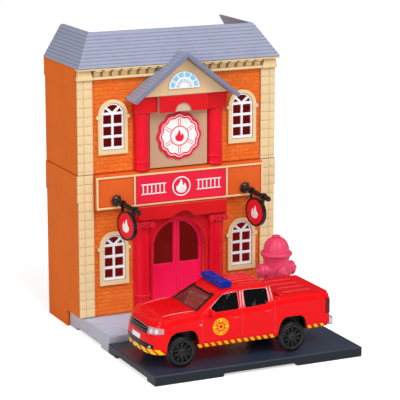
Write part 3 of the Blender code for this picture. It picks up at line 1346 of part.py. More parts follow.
def make_truck_body(parent):
    """The body shell: hollow underneath, with wheel arches, window openings and pockets for the lamps."""
    body = solid("truck_body", body_solid(), "truck_red_paint", parent, smooth=True)
    cut(body, block((underbody_front(), -UNDERBODY_HALF, -OVERRUN), (underbody_rear(), UNDERBODY_HALF,
                                                                     UNDERBODY_TOP_Z)))
    bed_half = UNDERBODY_HALF - GAP
    cut(body, block((CAB_REAR_X + BODY_SKIN, -bed_half, UNDERBODY_TOP_Z - OVERRUN),
                    (underbody_rear() - BODY_SKIN, bed_half, RAIL_Z - BED_DECK)))
    cut(body, cab_solid(BODY_SKIN, OVERRUN))
    arches = bmesh.new()
    for x in (0, WHEELBASE):
        turned([(ARCH_RADIUS, -BODY_HALF - OVERRUN), (ARCH_RADIUS, BODY_HALF + OVERRUN)], "Y",
               (x, 0, WHEEL_RADIUS + ARCH_RISE), shape=arches)
    cut(body, arches)
    panes = prism(window_outline(FRONT_WINDOW_SHARES), "Y", -BODY_HALF - OVERRUN, BODY_HALF + OVERRUN)
    prism(window_outline(REAR_WINDOW_SHARES), "Y", -BODY_HALF - OVERRUN, BODY_HALF + OVERRUN, panes)
    cut(body, panes)
    screen = [(-SCREEN_LOW_HALF, SCREEN_LOW_Z), (SCREEN_LOW_HALF, SCREEN_LOW_Z),
              (SCREEN_TOP_HALF, SCREEN_TOP_Z), (-SCREEN_TOP_HALF, SCREEN_TOP_Z)]
    cut(body, prism(screen, "X", COWL_X - OVERRUN, ROOF_FRONT_X + OVERRUN))
    backlight = [(-BACKLIGHT_HALF, RAIL_Z + OVERRUN), (BACKLIGHT_HALF, RAIL_Z + OVERRUN),
                 (BACKLIGHT_HALF, WINDOW_TOP_Z - GAP), (-BACKLIGHT_HALF, WINDOW_TOP_Z - GAP)]
    cut(body, prism(backlight, "X", ROOF_REAR_X - OVERRUN, CAB_REAR_X + OVERRUN))
    for pocket in (nose_pocket, nose_link, lamp_pockets, lamp_link, tail_pockets, tail_link):
        cut(body, pocket(0))
    mirrors = bmesh.new()
    for sign in (-1, 1):
        ends = sorted((sign * (BODY_HALF - BODY_SKIN), sign * (BODY_HALF + MIRROR_REACH)))
        block((MIRROR_X, ends[0], MIRROR_Z - MIRROR_HEIGHT / 2),
              (MIRROR_X + MIRROR_DEPTH, ends[1], MIRROR_Z + MIRROR_HEIGHT / 2), mirrors)
    return fuse(body, mirrors)


def make_truck_fittings(parent):
    """Glass, grille, lamps, rear bumper, light bar and bed cover."""
    glass = solid("truck_glazing", cab_solid(BODY_SKIN + GAP), "tinted_glass", parent, smooth=True)
    cut(glass, cab_solid(BODY_SKIN + GAP + GLASS_SHEET, OVERRUN))
    cut(glass, block((TRUCK_FRONT, -BODY_HALF, -OVERRUN), (TRUCK_REAR, BODY_HALF, WINDOW_SILL_Z - GLASS_LAP)))
    inserts = (("front_grille", "black_gloss_plastic", nose_pocket(GAP), nose_link(GAP)),
               ("headlights", "clear_lens", lamp_pockets(GAP), lamp_link(GAP)),
               ("tail_lights", "red_lens", tail_pockets(GAP), tail_link(GAP)))
    for name, look, pocket, link in inserts:
        insert = keep(solid(name, body_solid(), look, parent, smooth=True), pocket)
        fuse(insert, link)
    start = TRUCK_REAR + GAP
    bumper = solid("rear_bumper", block((start, -REAR_BUMPER_HALF, REAR_BUMPER_LOW_Z),
                                        (start + REAR_BUMPER_REACH, REAR_BUMPER_HALF, REAR_BUMPER_TOP_Z)),
                   "chrome", parent)
    bevel(bumper, LIGHTBAR_BEVEL, 2)
    roof = TRUCK_ROOF_Z + GAP
    bar = solid("lightbar", block((LIGHTBAR_X - LIGHTBAR_DEPTH / 2, -LIGHTBAR_HALF, roof),
                                  (LIGHTBAR_X + LIGHTBAR_DEPTH / 2, LIGHTBAR_HALF, roof + LIGHTBAR_HEIGHT)),
                "blue_lens", parent)
    bevel(bar, LIGHTBAR_BEVEL, 2)
    cover_low = RAIL_Z + GAP
    start, end = CAB_REAR_X + COVER_THICK, TRUCK_REAR - COVER_THICK
    lid = block((start, -COVER_HALF, cover_low), (end, COVER_HALF, cover_low + COVER_THICK))
    cover = solid("bed_cover", lid, "truck_red_paint", parent)
    ribs = bmesh.new()
    pitch = COVER_HALF * 2 / (COVER_RIBS + 1)
    for rib in range(1, COVER_RIBS + 1):
        y = -COVER_HALF + pitch * rib
        block((start + COVER_THICK, y - COVER_RIB_WIDTH / 2, cover_low + COVER_THICK / 2),
              (start + (end - start) * COVER_RIB_SHARE, y + COVER_RIB_WIDTH / 2,
               cover_low + COVER_THICK + COVER_RIB_RISE), ribs)
    fuse(cover, ribs)


def make_truck_inside(parent):
    """The seat tub and the chassis plate with its axle blocks."""
    tub_low = CHASSIS_TOP_Z + GAP
    tub = solid("truck_interior", block((TUB_FRONT_X, -TUB_HALF, tub_low), (TUB_REAR_X, TUB_HALF, TUB_TOP_Z)),
                "black_gloss_plastic", parent)
    fuse(tub, block((TUB_FRONT_X, -TUB_HALF, tub_low), (TUB_FRONT_X + DASH_DEPTH, TUB_HALF, DASH_TOP_Z)))
    pitch = (TUB_REAR_X - TUB_FRONT_X - DASH_DEPTH) / SEAT_ROWS
    for row in range(SEAT_ROWS):
        back_x = TUB_REAR_X - pitch * row
        for sign in (-1, 1):
            ends = sorted((sign * (TUB_HALF - SEAT_WIDTH), sign * TUB_HALF))
            fuse(tub, block((back_x - SEAT_DEPTH, ends[0], tub_low), (back_x, ends[1], SEAT_CUSHION_Z)))
            fuse(tub, block((back_x - SEAT_BACK, ends[0], tub_low), (back_x, ends[1], SEAT_TOP_Z)))
    front = underbody_front() + GAP
    back = underbody_rear() - GAP
    outline = [(front, CHASSIS_WAIST_HALF), (ARCH_RADIUS, CHASSIS_WAIST_HALF), (ARCH_RADIUS, CHASSIS_HALF),
               (WHEELBASE - ARCH_RADIUS, CHASSIS_HALF), (WHEELBASE - ARCH_RADIUS, CHASSIS_WAIST_HALF),
               (back, CHASSIS_WAIST_HALF)]
    outline += [(x, -y) for x, y in reversed(outline)]
    chassis = solid("chassis", prism(outline, "Z", CHASSIS_LOW_Z, CHASSIS_TOP_Z),
                    "black_gloss_plastic", parent)
    bores = bmesh.new()
    for x in (0, WHEELBASE):
        for sign in (-1, 1):
            y = sign * AXLE_BLOCK_Y
            low = (x - AXLE_BLOCK_HALF, y - AXLE_BLOCK_THICK / 2, WHEEL_RADIUS - AXLE_BLOCK_HALF)
            fuse(chassis, block(low, (x + AXLE_BLOCK_HALF, y + AXLE_BLOCK_THICK / 2, CHASSIS_LOW_Z + GAP)))
        turned([(AXLE_RADIUS + GAP, -BODY_HALF), (AXLE_RADIUS + GAP, BODY_HALF)], "Y", (x, 0, WHEEL_RADIUS),
               SMALL_STEPS, shape=bores)
    cut(chassis, bores)


def make_wheel(name, x, sign, parent):
    """A wheel moulded in one piece: tyre, dished rim with spokes, and a hub pressed over the axle's end."""
    centre = (x, 0, WHEEL_RADIUS)
    inner = sign * (TRACK_HALF - TYRE_WIDTH)
    outer = sign * TRACK_HALF
    edge = sign * TYRE_EDGE
    face = outer - sign * RIM_DISH * 2
    profile = [(AXLE_RADIUS + GAP, inner), (WHEEL_RADIUS - TYRE_EDGE, inner), (WHEEL_RADIUS, inner + edge),
               (WHEEL_RADIUS, outer - edge), (WHEEL_RADIUS - TYRE_EDGE, outer), (RIM_RADIUS, outer),
               (RIM_RADIUS, outer - edge), (RIM_RADIUS - RIM_DISH, outer - edge),
               (RIM_RADIUS - RIM_DISH, face),
               (HUB_RADIUS, face), (HUB_RADIUS, face + edge), (AXLE_RADIUS + GAP, face + edge)]
    wheel = solid(name, turned(profile, "Y", centre, closed=True), "tyre_rubber", parent, smooth=True,
                  origin=centre)
    wells = bmesh.new()
    pitch = 360 / RIM_SPOKES
    near, far = (RIM_RADIUS * share for share in RIM_WELL_SHARES)
    for spoke in range(RIM_SPOKES):
        start = pitch * (spoke + (1 - RIM_WELL_ANGLE_SHARE) / 2)
        end = start + pitch * RIM_WELL_ANGLE_SHARE
        outline = arc_points((x, WHEEL_RADIUS), far, start, end, 1)
        outline += arc_points((x, WHEEL_RADIUS), near, end, start, 1)
        ends = sorted((face - sign * RIM_WELL_DEPTH, outer + sign * OVERRUN))
        prism(outline, "Y", ends[0], ends[1], wells)
    cut(wheel, wells)


def make_axle(word, x, parent):
    """One steel axle with its two wheels, all turning on the axle line."""
    centre = (x, 0, WHEEL_RADIUS)
    end = TRACK_HALF - RIM_DISH * 2
    solid(f"{word}_axle", turned([(AXLE_RADIUS, -end), (AXLE_RADIUS, end)], "Y", centre, SMALL_STEPS),
          "steel_pin", parent, smooth=True, origin=centre)
    for sign in (-1, 1):
        make_wheel(f"{word}_{truck_side(sign)}_wheel", x, sign, parent)


def truck_side(sign):
    """The driver's word for a side: the truck faces -x, so its left is at -y."""
    return "right" if sign > 0 else "left"


def make_truck(parent):
    """The pickup truck on the road plate."""
    truck = empty("truck_frame", (TRUCK_X, TRUCK_Y, PLATE_HEIGHT + GAP), parent=parent)
    make_truck_body(truck)
    make_truck_fittings(truck)
    make_truck_inside(truck)
    make_axle("front", 0, truck)
    make_axle("rear", WHEELBASE, truck)


def make_part():
    """The whole diorama, in the order in which it goes together."""
    clear_scene()
    station = empty("station_frame", STATION_PLACE)
    make_ground(station)
    make_storeys(station)
    for sign in (-1, 1):
        word = side_name(sign)
        make_pilaster(f"lower_{word}_pilaster", sign, WALL_BASE_Z, LOWER_TOP_Z, LOWER_BAND, station)
        make_pilaster(f"upper_{word}_pilaster", sign, UPPER_BASE_Z, CAPITAL_LOW - GAP, 0, station)
        make_window(f"lower_{word}_window", sign * WINDOW_X, LOWER_WINDOW_Z, station)
        make_window(f"upper_{word}_window", sign * WINDOW_X, UPPER_WINDOW_Z, station)
    make_cornice(station)
    make_mansard(station)
    make_gable(station)
    make_upper_portico(station)
    make_belt(station)
    make_portico(station)
    make_doors(station)
    make_signs(station)
    make_hydrant(station)
    make_truck(station)


make_part()
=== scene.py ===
"""Looks of the toy fire station: its sidewalk, road plate, station, hydrant and pickup truck."""
import json
import math

import bmesh
import bpy
import numpy as np
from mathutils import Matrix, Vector
from mathutils.bvhtree import BVHTree

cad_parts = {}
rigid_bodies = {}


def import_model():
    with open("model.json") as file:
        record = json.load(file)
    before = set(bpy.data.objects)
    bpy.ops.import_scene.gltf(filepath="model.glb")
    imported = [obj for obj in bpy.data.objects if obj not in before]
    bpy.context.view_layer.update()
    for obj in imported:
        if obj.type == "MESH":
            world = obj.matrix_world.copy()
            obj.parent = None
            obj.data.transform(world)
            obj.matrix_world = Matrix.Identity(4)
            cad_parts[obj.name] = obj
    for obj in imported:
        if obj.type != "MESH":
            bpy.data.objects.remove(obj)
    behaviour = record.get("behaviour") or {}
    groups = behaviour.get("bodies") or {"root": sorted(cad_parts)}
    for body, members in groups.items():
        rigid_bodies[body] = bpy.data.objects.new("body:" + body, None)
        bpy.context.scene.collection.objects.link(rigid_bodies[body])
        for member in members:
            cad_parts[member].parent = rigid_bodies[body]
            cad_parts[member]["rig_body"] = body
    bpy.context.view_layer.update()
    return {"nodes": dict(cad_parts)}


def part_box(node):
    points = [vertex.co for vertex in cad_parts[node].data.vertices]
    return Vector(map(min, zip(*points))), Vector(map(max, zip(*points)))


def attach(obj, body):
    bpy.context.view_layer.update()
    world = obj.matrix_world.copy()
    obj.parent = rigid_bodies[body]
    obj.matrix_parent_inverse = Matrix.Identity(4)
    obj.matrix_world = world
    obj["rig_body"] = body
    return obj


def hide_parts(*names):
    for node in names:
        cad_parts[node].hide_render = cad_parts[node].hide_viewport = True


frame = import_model()

# Sidewalk: a grey injection-moulded slab on corner feet, over whose rear part the station's walls drop.
# Its top is a rough paving relief inside a smooth kerb, with one round peg hole in the corner.
# Every shape below is worked out in millimetres and put into its mesh in metres.
MM = 0.001


def feed(tree, socket, value):
    """Set a socket to a value, or link an output socket to it."""
    if isinstance(value, bpy.types.NodeSocket):
        tree.links.new(value, socket)
    else:
        socket.default_value = value


def node(tree, kind, feeds=None, **settings):
    """Shader node with its properties set and its inputs fed."""
    made = tree.nodes.new("ShaderNode" + kind)
    for key, value in settings.items():
        setattr(made, key, value)
    for label, value in (feeds or {}).items():
        feed(tree, made.inputs[label], value)
    return made


def maths(tree, operation, first, second, clamp=False):
    """Math node; each operand is a number or an output socket."""
    return node(tree, "Math", {0: first, 1: second}, operation=operation, use_clamp=clamp).outputs[0]


def spread(tree, value, middle, gain, clamp=True):
    """(value - middle) x gain, held between 0 and 1 if it is clamped."""
    return maths(tree, "MULTIPLY", maths(tree, "SUBTRACT", value, middle), gain, clamp)


def blended(tree, factor, first, second, mode="MIX"):
    """Colour mix; factor and colours are values or output sockets."""
    return node(tree, "Mix", {0: factor, 6: first, 7: second}, data_type="RGBA", blend_type=mode).outputs[2]


def noise(tree, scale, detail=2.0, rough=0.5, stretch=(1, 1, 1), turn=0.0):
    """Noise in scale waves a metre, drawn out along the axes whose stretch is small and turned about Y."""
    place = node(tree, "TexCoord").outputs["Object"]
    if stretch != (1, 1, 1):
        feeds = {"Vector": place, "Scale": stretch, "Rotation": (0, turn, 0)}
        place = node(tree, "Mapping", feeds).outputs[0]
    feeds = {"Vector": place, "Scale": scale, "Detail": detail, "Roughness": rough}
    return node(tree, "TexNoise", feeds).outputs[0]


def shader_group(name, inputs, outputs):
    """Empty shader node group: inputs with their defaults, and outputs with their kinds."""
    tree = bpy.data.node_groups.new(name, "ShaderNodeTree")
    for label, value in inputs.items():
        kind = "NodeSocketColor" if isinstance(value, tuple) else "NodeSocketFloat"
        tree.interface.new_socket(label, in_out="INPUT", socket_type=kind).default_value = value
    for label, kind in outputs.items():
        tree.interface.new_socket(label, in_out="OUTPUT", socket_type="NodeSocket" + kind)
    return tree, tree.nodes.new("NodeGroupInput").outputs, tree.nodes.new("NodeGroupOutput").inputs


def moulded_surface():
    """Moulded plastic: cloudy tint, faint flow streaks, fine grain, pale edges that are partly wear and
    partly painted highlight, and painted shade in crevices.
    """
    tree, given, out = shader_group("moulded_surface", {
        "Colour": (0.5, 0.5, 0.5, 1), "Cloud": 0.12, "Grain": 0.5, "Gloss": 0.4, "WearAndHighlight": 0.3, "CreviceShade": 0.4,
        "Edge": 0.0, "Crevice": 0.0}, {"Colour": "Color", "Roughness": "Float", "Height": "Float"})
    lift = maths(tree, "ADD", spread(tree, noise(tree, 55, 3), 0.5, 1.4, False),
                 spread(tree, noise(tree, 420, stretch=(1, 1, 0.18)), 0.5, 0.6, False))
    value = maths(tree, "ADD", 1.0, maths(tree, "MULTIPLY", lift, given["Cloud"]))
    tone = node(tree, "HueSaturation", {"Value": value, "Color": given["Colour"]}).outputs[0]
    shaded = blended(tree, 1.0, tone, (0.3, 0.24, 0.22, 1), "MULTIPLY")
    # Painted shade: crevices found by ambient occlusion are darkened towards a brown shade colour.
    crevice_shaded = blended(tree, maths(tree, "MULTIPLY", given["Crevice"], given["CreviceShade"], True), tone, shaded)
    # Pale edges: partly wear in noisy patches, partly painted highlight along convex edges.
    patches = maths(tree, "MULTIPLY", given["WearAndHighlight"], noise(tree, 900))
    pale_edge_mask = maths(tree, "MULTIPLY", given["Edge"], patches, True)
    pale = blended(tree, 0.5, crevice_shaded, (1, 1, 1, 1))
    feed(tree, out["Colour"], blended(tree, pale_edge_mask, crevice_shaded, pale))
    uneven = maths(tree, "SUBTRACT", spread(tree, noise(tree, 240, 4), 0.5, 0.22, False),
                   maths(tree, "MULTIPLY", pale_edge_mask, 0.15))
    feed(tree, out["Roughness"], maths(tree, "ADD", given["Gloss"], uneven, True))
    feed(tree, out["Height"], maths(tree, "MULTIPLY", noise(tree, 3800, 2, 0.7), given["Grain"]))
    return tree


def moulded_edges():
    """Softened edges: a normal averaged over a small radius, and masks of where it leans and of crevices."""
    tree, _, out = shader_group("moulded_edges", {},
                                {"Normal": "Vector", "Edge": "Float", "Crevice": "Float"})
    soft = node(tree, "Bevel", {"Radius": 0.22 * MM}, samples=4).outputs[0]
    flat = node(tree, "NewGeometry").outputs["Normal"]
    lean = node(tree, "VectorMath", {0: soft, 1: flat}, operation="DOT_PRODUCT").outputs["Value"]
    open_sky = node(tree, "AmbientOcclusion", {"Distance": 1.1 * MM}, samples=4).outputs["AO"]
    feed(tree, out["Normal"], soft)
    feed(tree, out["Edge"], spread(tree, lean, 1.0, -4.0))
    feed(tree, out["Crevice"], spread(tree, open_sky, 0.9, -1.6))
    return tree


MOULDED = moulded_surface()
SOFT_EDGES = moulded_edges()


def srgb(*screen):
    """Linear colour of an 8-bit screen colour."""
    return (*[((v / 255 + 0.055) / 1.055) ** 2.4 if v > 10 else v / 255 / 12.92 for v in screen], 1.0)


def moulding(name, screen, gloss=0.42, cloud=0.12, grain=0.5, wear_and_highlight=0.3, crevice_shade=0.4, relief=0.02, shine=0.2,
             coat=0.0, metal=0.0, glow=0.0, marks=None, crisp=False):
    """Plastic or paint on the two groups; marks(tree) gives a mask and the colour that it lays over them."""
    made = bpy.data.materials.new(name)
    made.use_nodes = True
    tree = made.node_tree
    colour = srgb(*screen)
    soft = node(tree, "Group", node_tree=SOFT_EDGES).outputs
    feeds = {"Colour": colour, "Cloud": cloud, "Grain": grain, "Gloss": gloss, "WearAndHighlight": wear_and_highlight, "CreviceShade": crevice_shade,
             "Edge": soft["Edge"], "Crevice": soft["Crevice"]}
    face = node(tree, "Group", feeds, node_tree=MOULDED)
    if marks:
        mask, over = marks(tree)
        feed(tree, face.inputs["Colour"], blended(tree, mask, colour, srgb(*over)))
    bump = node(tree, "Bump", {"Distance": relief * MM, "Height": face.outputs["Height"]})
    if not crisp:
        feed(tree, bump.inputs["Normal"], soft["Normal"])
    for label, value in {"Base Color": face.outputs["Colour"], "Roughness": face.outputs["Roughness"],
                         "Normal": bump.outputs[0], "Metallic": metal, "Emission Color": colour,
                         "Emission Strength": glow, "Specular IOR Level": shine, "Coat Weight": coat,
                         "Coat Roughness": 0.06}.items():
        feed(tree, tree.nodes["Principled BSDF"].inputs[label], value)
    return made


def dress(material, *nodes):
    """Give a material to CAD nodes that keep their own shape."""
    for name in nodes:
        slots = frame["nodes"][name].data.materials
        slots.clear()
        slots.append(material)


def corners_of(name, origin=(0, 0, 0)):
    """Lowest and highest corners of a CAD node, in millimetres from an origin."""
    low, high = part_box(name)
    return np.array(low) / MM - origin, np.array(high) / MM - origin


def xyz(*parts):
    """Points from their coordinates, each an array or one number."""
    return np.stack(np.broadcast_arrays(*parts), axis=-1)


def closed(points, around=True, capped=True):
    """Shape of a rows x columns x 3 grid: its quads, and one flat face on its first and its last row."""
    rows, columns = points.shape[:2]
    index = np.arange(rows * columns).reshape(rows, columns)
    if around:
        index = np.hstack([index, index[:, :1]])
    faces = xyz(index[:-1, :-1], index[:-1, 1:], index[1:, 1:], index[1:, :-1]).reshape(-1, 4).tolist()
    if capped:
        faces += [list(range(columns))[::-1], list(range((rows - 1) * columns, rows * columns))]
    return points.reshape(-1, 3), faces


def welded(source, mesh, merge, flat=0, sliver=0):
    """Copy a mesh with its doubled corners merged; then join its flat faces, or turn them all outwards."""
    work = bmesh.new()
    work.from_mesh(source)
    bmesh.ops.remove_doubles(work, verts=work.verts, dist=merge * MM)
    if sliver:
        bmesh.ops.dissolve_degenerate(work, edges=work.edges, dist=sliver * MM)
    if flat:
        bmesh.ops.dissolve_limit(work, angle_limit=math.radians(flat), verts=work.verts, edges=work.edges)
    else:
        bmesh.ops.recalc_face_normals(work, faces=work.faces)
    work.to_mesh(mesh)
    work.free()


def linked(name, data):
    """Object in the scene that shows the given data."""
    made = bpy.data.objects.new(name, data)
    bpy.context.collection.objects.link(made)
    return made


def shown(name, mesh, material, body, replaced=None, angle=32):
    """Object of a mesh that rides on a body, smooth up to an angle; it replaces a CAD node when one is named.
    """
    mesh.shade_smooth()
    mesh.set_sharp_from_angle(angle=math.radians(angle))
    mesh.materials.append(material)
    made = linked(name, mesh)
    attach(made, body)
    if replaced:
        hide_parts(replaced)
    return made


ORIGINS = {}


def piece(name, shapes, material, replaced=None, body="station", angle=32, tones=None,
          origin=None):
    """New piece of one or more shapes, in millimetres about the origin of its body."""
    faces, start = [], 0
    for points, part in shapes:
        faces += [[index + start for index in face] for face in part]
        start += len(points)
    origin = ORIGINS[body] if origin is None else origin
    mesh = bpy.data.meshes.new(name)
    mesh.from_pydata(((np.vstack([points for points, part in shapes]) + origin) * MM).tolist(), [], faces)
    if tones is not None:
        mesh.attributes.new("tone", "FLOAT", "POINT").data.foreach_set("value", np.asarray(tones, np.float32))
    welded(mesh, mesh, 0.001)
    shown(name, mesh, material, body, replaced, angle)


def smoothed(material, *nodes):
    """Show a copy of each round CAD node that shades smoothly, with its corners and flat faces joined."""
    for name in nodes:
        source = frame["nodes"][name]
        mesh = bpy.data.meshes.new(name + "_moulding")
        welded(source.data, mesh, 0.002, flat=0.3)
        even = shown(name + "_moulding", mesh, material, source["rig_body"], name).modifiers.new(
            "flat_faces_flat", "WEIGHTED_NORMAL")
        even.keep_sharp = True
        even.weight = 100


def rolling(across, along, seed):
    """Smooth noise of two coordinates, -1 to 1: random lattice values joined by cosine-eased steps."""
    lattice = np.random.default_rng(seed).uniform(-1, 1, (64, 64))
    u, v = np.broadcast_arrays(across, along)
    i, j = np.floor(u).astype(int), np.floor(v).astype(int)
    p, q = (0.5 - 0.5 * np.cos(np.pi * (part - np.floor(part))) for part in (u, v))
    near, far = (lattice[i % 64, (j + step) % 64] * (1 - p) + lattice[(i + 1) % 64, (j + step) % 64] * p
                 for step in (0, 1))
    return near * (1 - q) + far * q


def relief(low, high, pitch, height):
    """Closed tile between two corners: height(x, y) over its floor inside, and the floor along its rim."""
    x, y = (np.linspace(low[k], high[k], max(3, round((high[k] - low[k]) / pitch) + 1)) for k in (0, 1))
    x, y = np.meshgrid(x, y)
    z = low[2] + height(x, y)
    z[[0, -1], :] = low[2]
    z[:, [0, -1]] = low[2]
    points, faces = closed(xyz(x, y, z), around=False, capped=False)
    index = np.arange(x.size).reshape(x.shape)
    rim = np.concatenate([index[0, :-1], index[:-1, -1], index[-1, :0:-1], index[:0:-1, 0]])
    return points, faces + [rim[::-1].tolist()]


SHELL_LOW, SHELL_HIGH = corners_of("lower_shell")
WALL_FRONT = 1.5
STATION = np.array([(SHELL_LOW[0] + SHELL_HIGH[0]) / 2, SHELL_LOW[1] - WALL_FRONT, 0])
ORIGINS.update(station=STATION, left_sign=STATION, right_sign=STATION)
WALK_LOW, WALK_HIGH = corners_of("sidewalk")
KERB = 1.5
PAVING_RISE = 0.16
PEG_PLACE = WALK_LOW[:2] + (14.5, 9.5)
PEG_HOLE = 1.5


def paving(x, y):
    """Rough slate: long streaks across the walk and fine pits over them, worn down round the peg hole."""
    streaks = rolling(x / 9, y / 1.1, 3) + 0.6 * rolling(x / 3.5, y / 0.6, 5)
    streaks = streaks + 0.4 * rolling(x / 1.1, y / 1.1, 7)
    away = np.hypot(x - PEG_PLACE[0], y - PEG_PLACE[1])
    dent = np.clip((away - PEG_HOLE) / 0.5, 0, 1)
    lip = 0.35 * np.exp(-((away - PEG_HOLE - 0.4) / 0.4) ** 2)
    return PAVING_RISE * ((0.62 + 0.25 * streaks) * dent + lip)


def stone_marks(tree):
    """Darker streaks that run along the walk."""
    return spread(tree, noise(tree, 900, 4, 0.6, (0.12, 1, 1)), 0.48, 3.0), (172, 174, 198)


dress(moulding("kerb_grey", (186, 186, 200), gloss=0.5, cloud=0.08, shine=0.35), "sidewalk")
paving_grey = moulding("paving_grey", (198, 208, 232), gloss=0.6, cloud=0.1, wear_and_highlight=0.1, relief=0.05,
                       marks=stone_marks)
slab = relief((WALK_LOW[0] + KERB, WALK_LOW[1] + KERB, WALK_HIGH[2] - 0.02),
              (WALK_HIGH[0] - KERB, STATION[1] - 0.4), 0.5, paving)
piece("sidewalk_paving", [slab], paving_grey, origin=(0, 0, 0))


# Road plate: one near-black glossy moulding with a softly rounded rim and corner feet like the sidewalk's.
# It is polished enough to mirror the truck's red paint and the pale studio.
def top_sheen_marks(tree):
    """Painted sheen: the faces that look up are painted paler."""
    split = node(tree, "SeparateXYZ", {0: node(tree, "NewGeometry").outputs["Normal"]})
    return maths(tree, "MULTIPLY", split.outputs["Z"], 0.75, True), (55, 66, 88)


# Its marks paint the upward faces paler: a painted sheen.
road_black = moulding("road_black", (14, 25, 38), gloss=0.34, cloud=0.1, grain=0.15, wear_and_highlight=0.9, crevice_shade=0.2,
                      relief=0.004, shine=0.42, marks=top_sheen_marks)
dress(road_black, "road_plate")

# Station shells: two open-backed storeys in orange plastic, moulded with thin flush bricks on the front and
# smooth sides. Each course of bricks stands a quarter of a millimetre proud of the joint lines round it.
SIDES = {"left": -1, "right": 1}
STOREYS = ("lower", "upper")
BRICK_COURSE, BRICK_LENGTH = 2.56, 6.3
MORTAR = 0.36
BRICK_RISE, BRICK_SLOPE = 0.24, 0.16
PORTICO_EDGE, BAY_OUTER = 30.9, 57.5
WINDOW_X, HOLE_HALF, WINDOW_SPRING = 44.45, 8.6, 24.6
WINDOW_SILLS = {"lower": 30.3, "upper": 113.9}
WALL_SPANS = {"lower": (10.9, 80.4), "upper": (102.4, 161.2)}
GABLE_SHOWS_ABOVE = 150.0


def brick_rows(storey):
    """Left, right, bottom and top of every brick: courses in half-brick bond, cut off round the windows."""
    low, high = WALL_SPANS[storey]
    bricks = []
    for course in range(round((high - low - 0.2) / BRICK_COURSE)):
        bottom = low + course * BRICK_COURSE
        middle = bottom + BRICK_COURSE / 2
        inner = PORTICO_EDGE if storey == "lower" or middle < GABLE_SHOWS_ABOVE else 0
        over_sill = middle - WINDOW_SILLS[storey]
        above = max(0, over_sill - WINDOW_SPRING)
        half = math.sqrt(max(0, HOLE_HALF ** 2 - above ** 2)) if over_sill > 1 else 0
        for side in (-1, 1):
            for start in np.arange(inner - (course % 2) * BRICK_LENGTH / 2, BAY_OUTER, BRICK_LENGTH):
                a, b = max(start, inner), min(start + BRICK_LENGTH - MORTAR, BAY_OUTER)
                spans = [(a, min(b, WINDOW_X - half)), (max(a, WINDOW_X + half), b)] if half else [(a, b)]
                bricks += [sorted((side * a, side * b)) + [bottom, bottom + BRICK_COURSE - MORTAR]
                           for a, b in spans if b - a > 2 * BRICK_SLOPE + 0.1]
    return np.array(bricks)


def brickwork(storey):
    """All bricks of a storey as eight-cornered blocks whose fronts are a little smaller than their backs."""
    left, right, low, high = brick_rows(storey).T
    random = np.random.default_rng(11 if storey == "lower" else 12)
    front = WALL_FRONT - BRICK_RISE * random.uniform(0.75, 1.0, len(left))
    corners = []
    for y, s in ((WALL_FRONT + 0.02, 0), (front, BRICK_SLOPE)):
        corners += [xyz(left + s, y, low + s), xyz(right - s, y, low + s), xyz(right - s, y, high - s),
                    xyz(left + s, y, high - s)]
    block = np.array([(3, 2, 1, 0), (4, 5, 6, 7), (0, 1, 5, 4), (1, 2, 6, 5), (2, 3, 7, 6), (3, 0, 4, 7)])
    faces = (np.arange(len(left))[:, None, None] * 8 + block).reshape(-1, 4).tolist()
    return (np.stack(corners, axis=1).reshape(-1, 3), faces), np.repeat(random.uniform(0, 1, len(left)), 8)


def brick_marks(tree):
    """Each brick's own tone, from darker to paler orange."""
    tone = node(tree, "Attribute", attribute_name="tone").outputs["Fac"]
    return maths(tree, "MULTIPLY", tone, 0.55), (246, 134, 50)


dress(moulding("wall_orange", (232, 107, 8), gloss=0.5, cloud=0.14, shine=0.1), "lower_shell", "upper_shell")
brick_orange = moulding("brick_orange", (234, 106, 22), gloss=0.5, cloud=0.16, wear_and_highlight=1.2, shine=0.12,
                        marks=brick_marks)
for storey in STOREYS:
    wall, tones = brickwork(storey)
    piece(f"{storey}_brickwork", [wall], brick_orange, angle=10, tones=tones)

# Rooms behind the windows: dark red satin boxes that slide into the shells from behind and show through every
# pane. A faint emission on them is painted light that brightens the shaded rooms seen through the panes.
dress(moulding("room_dark_red", (146, 32, 30), gloss=0.45, cloud=0.6, glow=0.3, shine=0.15), "lower_liner",
      "upper_liner")

# Stone trims: tan plastic pilasters in block courses, window surrounds, cornice and strips, pressed on to
# the front with hidden pegs. The pilasters' blocks are rounded like pillows along their joints.
BLOCK_COURSE, BLOCK_JOINT = 5.7, 0.22
PILASTER_IN, BLOCK_SPLIT, PILASTER_OUT = 57.7, 63.7, 67.9
BAND_FOOT, BAND_HEAD, BAND_STEP = 82.85, BLOCK_COURSE + SHELL_HIGH[2] - 10, 0.6
BLOCK_BACK, BLOCK_FRONT, PILLOW = 1.2, 0.0, 0.28


def offset_outline(outline, inset):
    """Closed anticlockwise outline moved inwards, mitred at its corners."""
    edges = [outline - np.roll(outline, 1, axis=0), np.roll(outline, -1, axis=0) - outline]
    one, two = (xyz(-edge[:, 1], edge[:, 0]) / np.linalg.norm(edge, axis=1)[:, None] for edge in edges)
    return outline + (one + two) / (1 + (one * two).sum(axis=1))[:, None] * inset


def plate(outline, steps, facing="y"):
    """Closed plate: an outline carried through (inset, depth) steps, with a flat face at either end."""
    order = {"x": (2, 0, 1), "y": (0, 2, 1), "z": (0, 1, 2)}[facing]
    rings = []
    for inset, depth in steps:
        ring = offset_outline(np.asarray(outline, float), inset)
        rings.append(xyz(ring[:, 0], ring[:, 1], depth)[:, order])
    return closed(np.stack(rings))


def arc(centre, radius, start, end, steps):
    """Points on an arc, angles in degrees; radius is one number or a pair."""
    angle = np.radians(np.linspace(start, end, steps + 1))
    wide, tall = np.broadcast_to(radius, 2)
    return xyz(centre[0] + wide * np.cos(angle), centre[1] + tall * np.sin(angle))


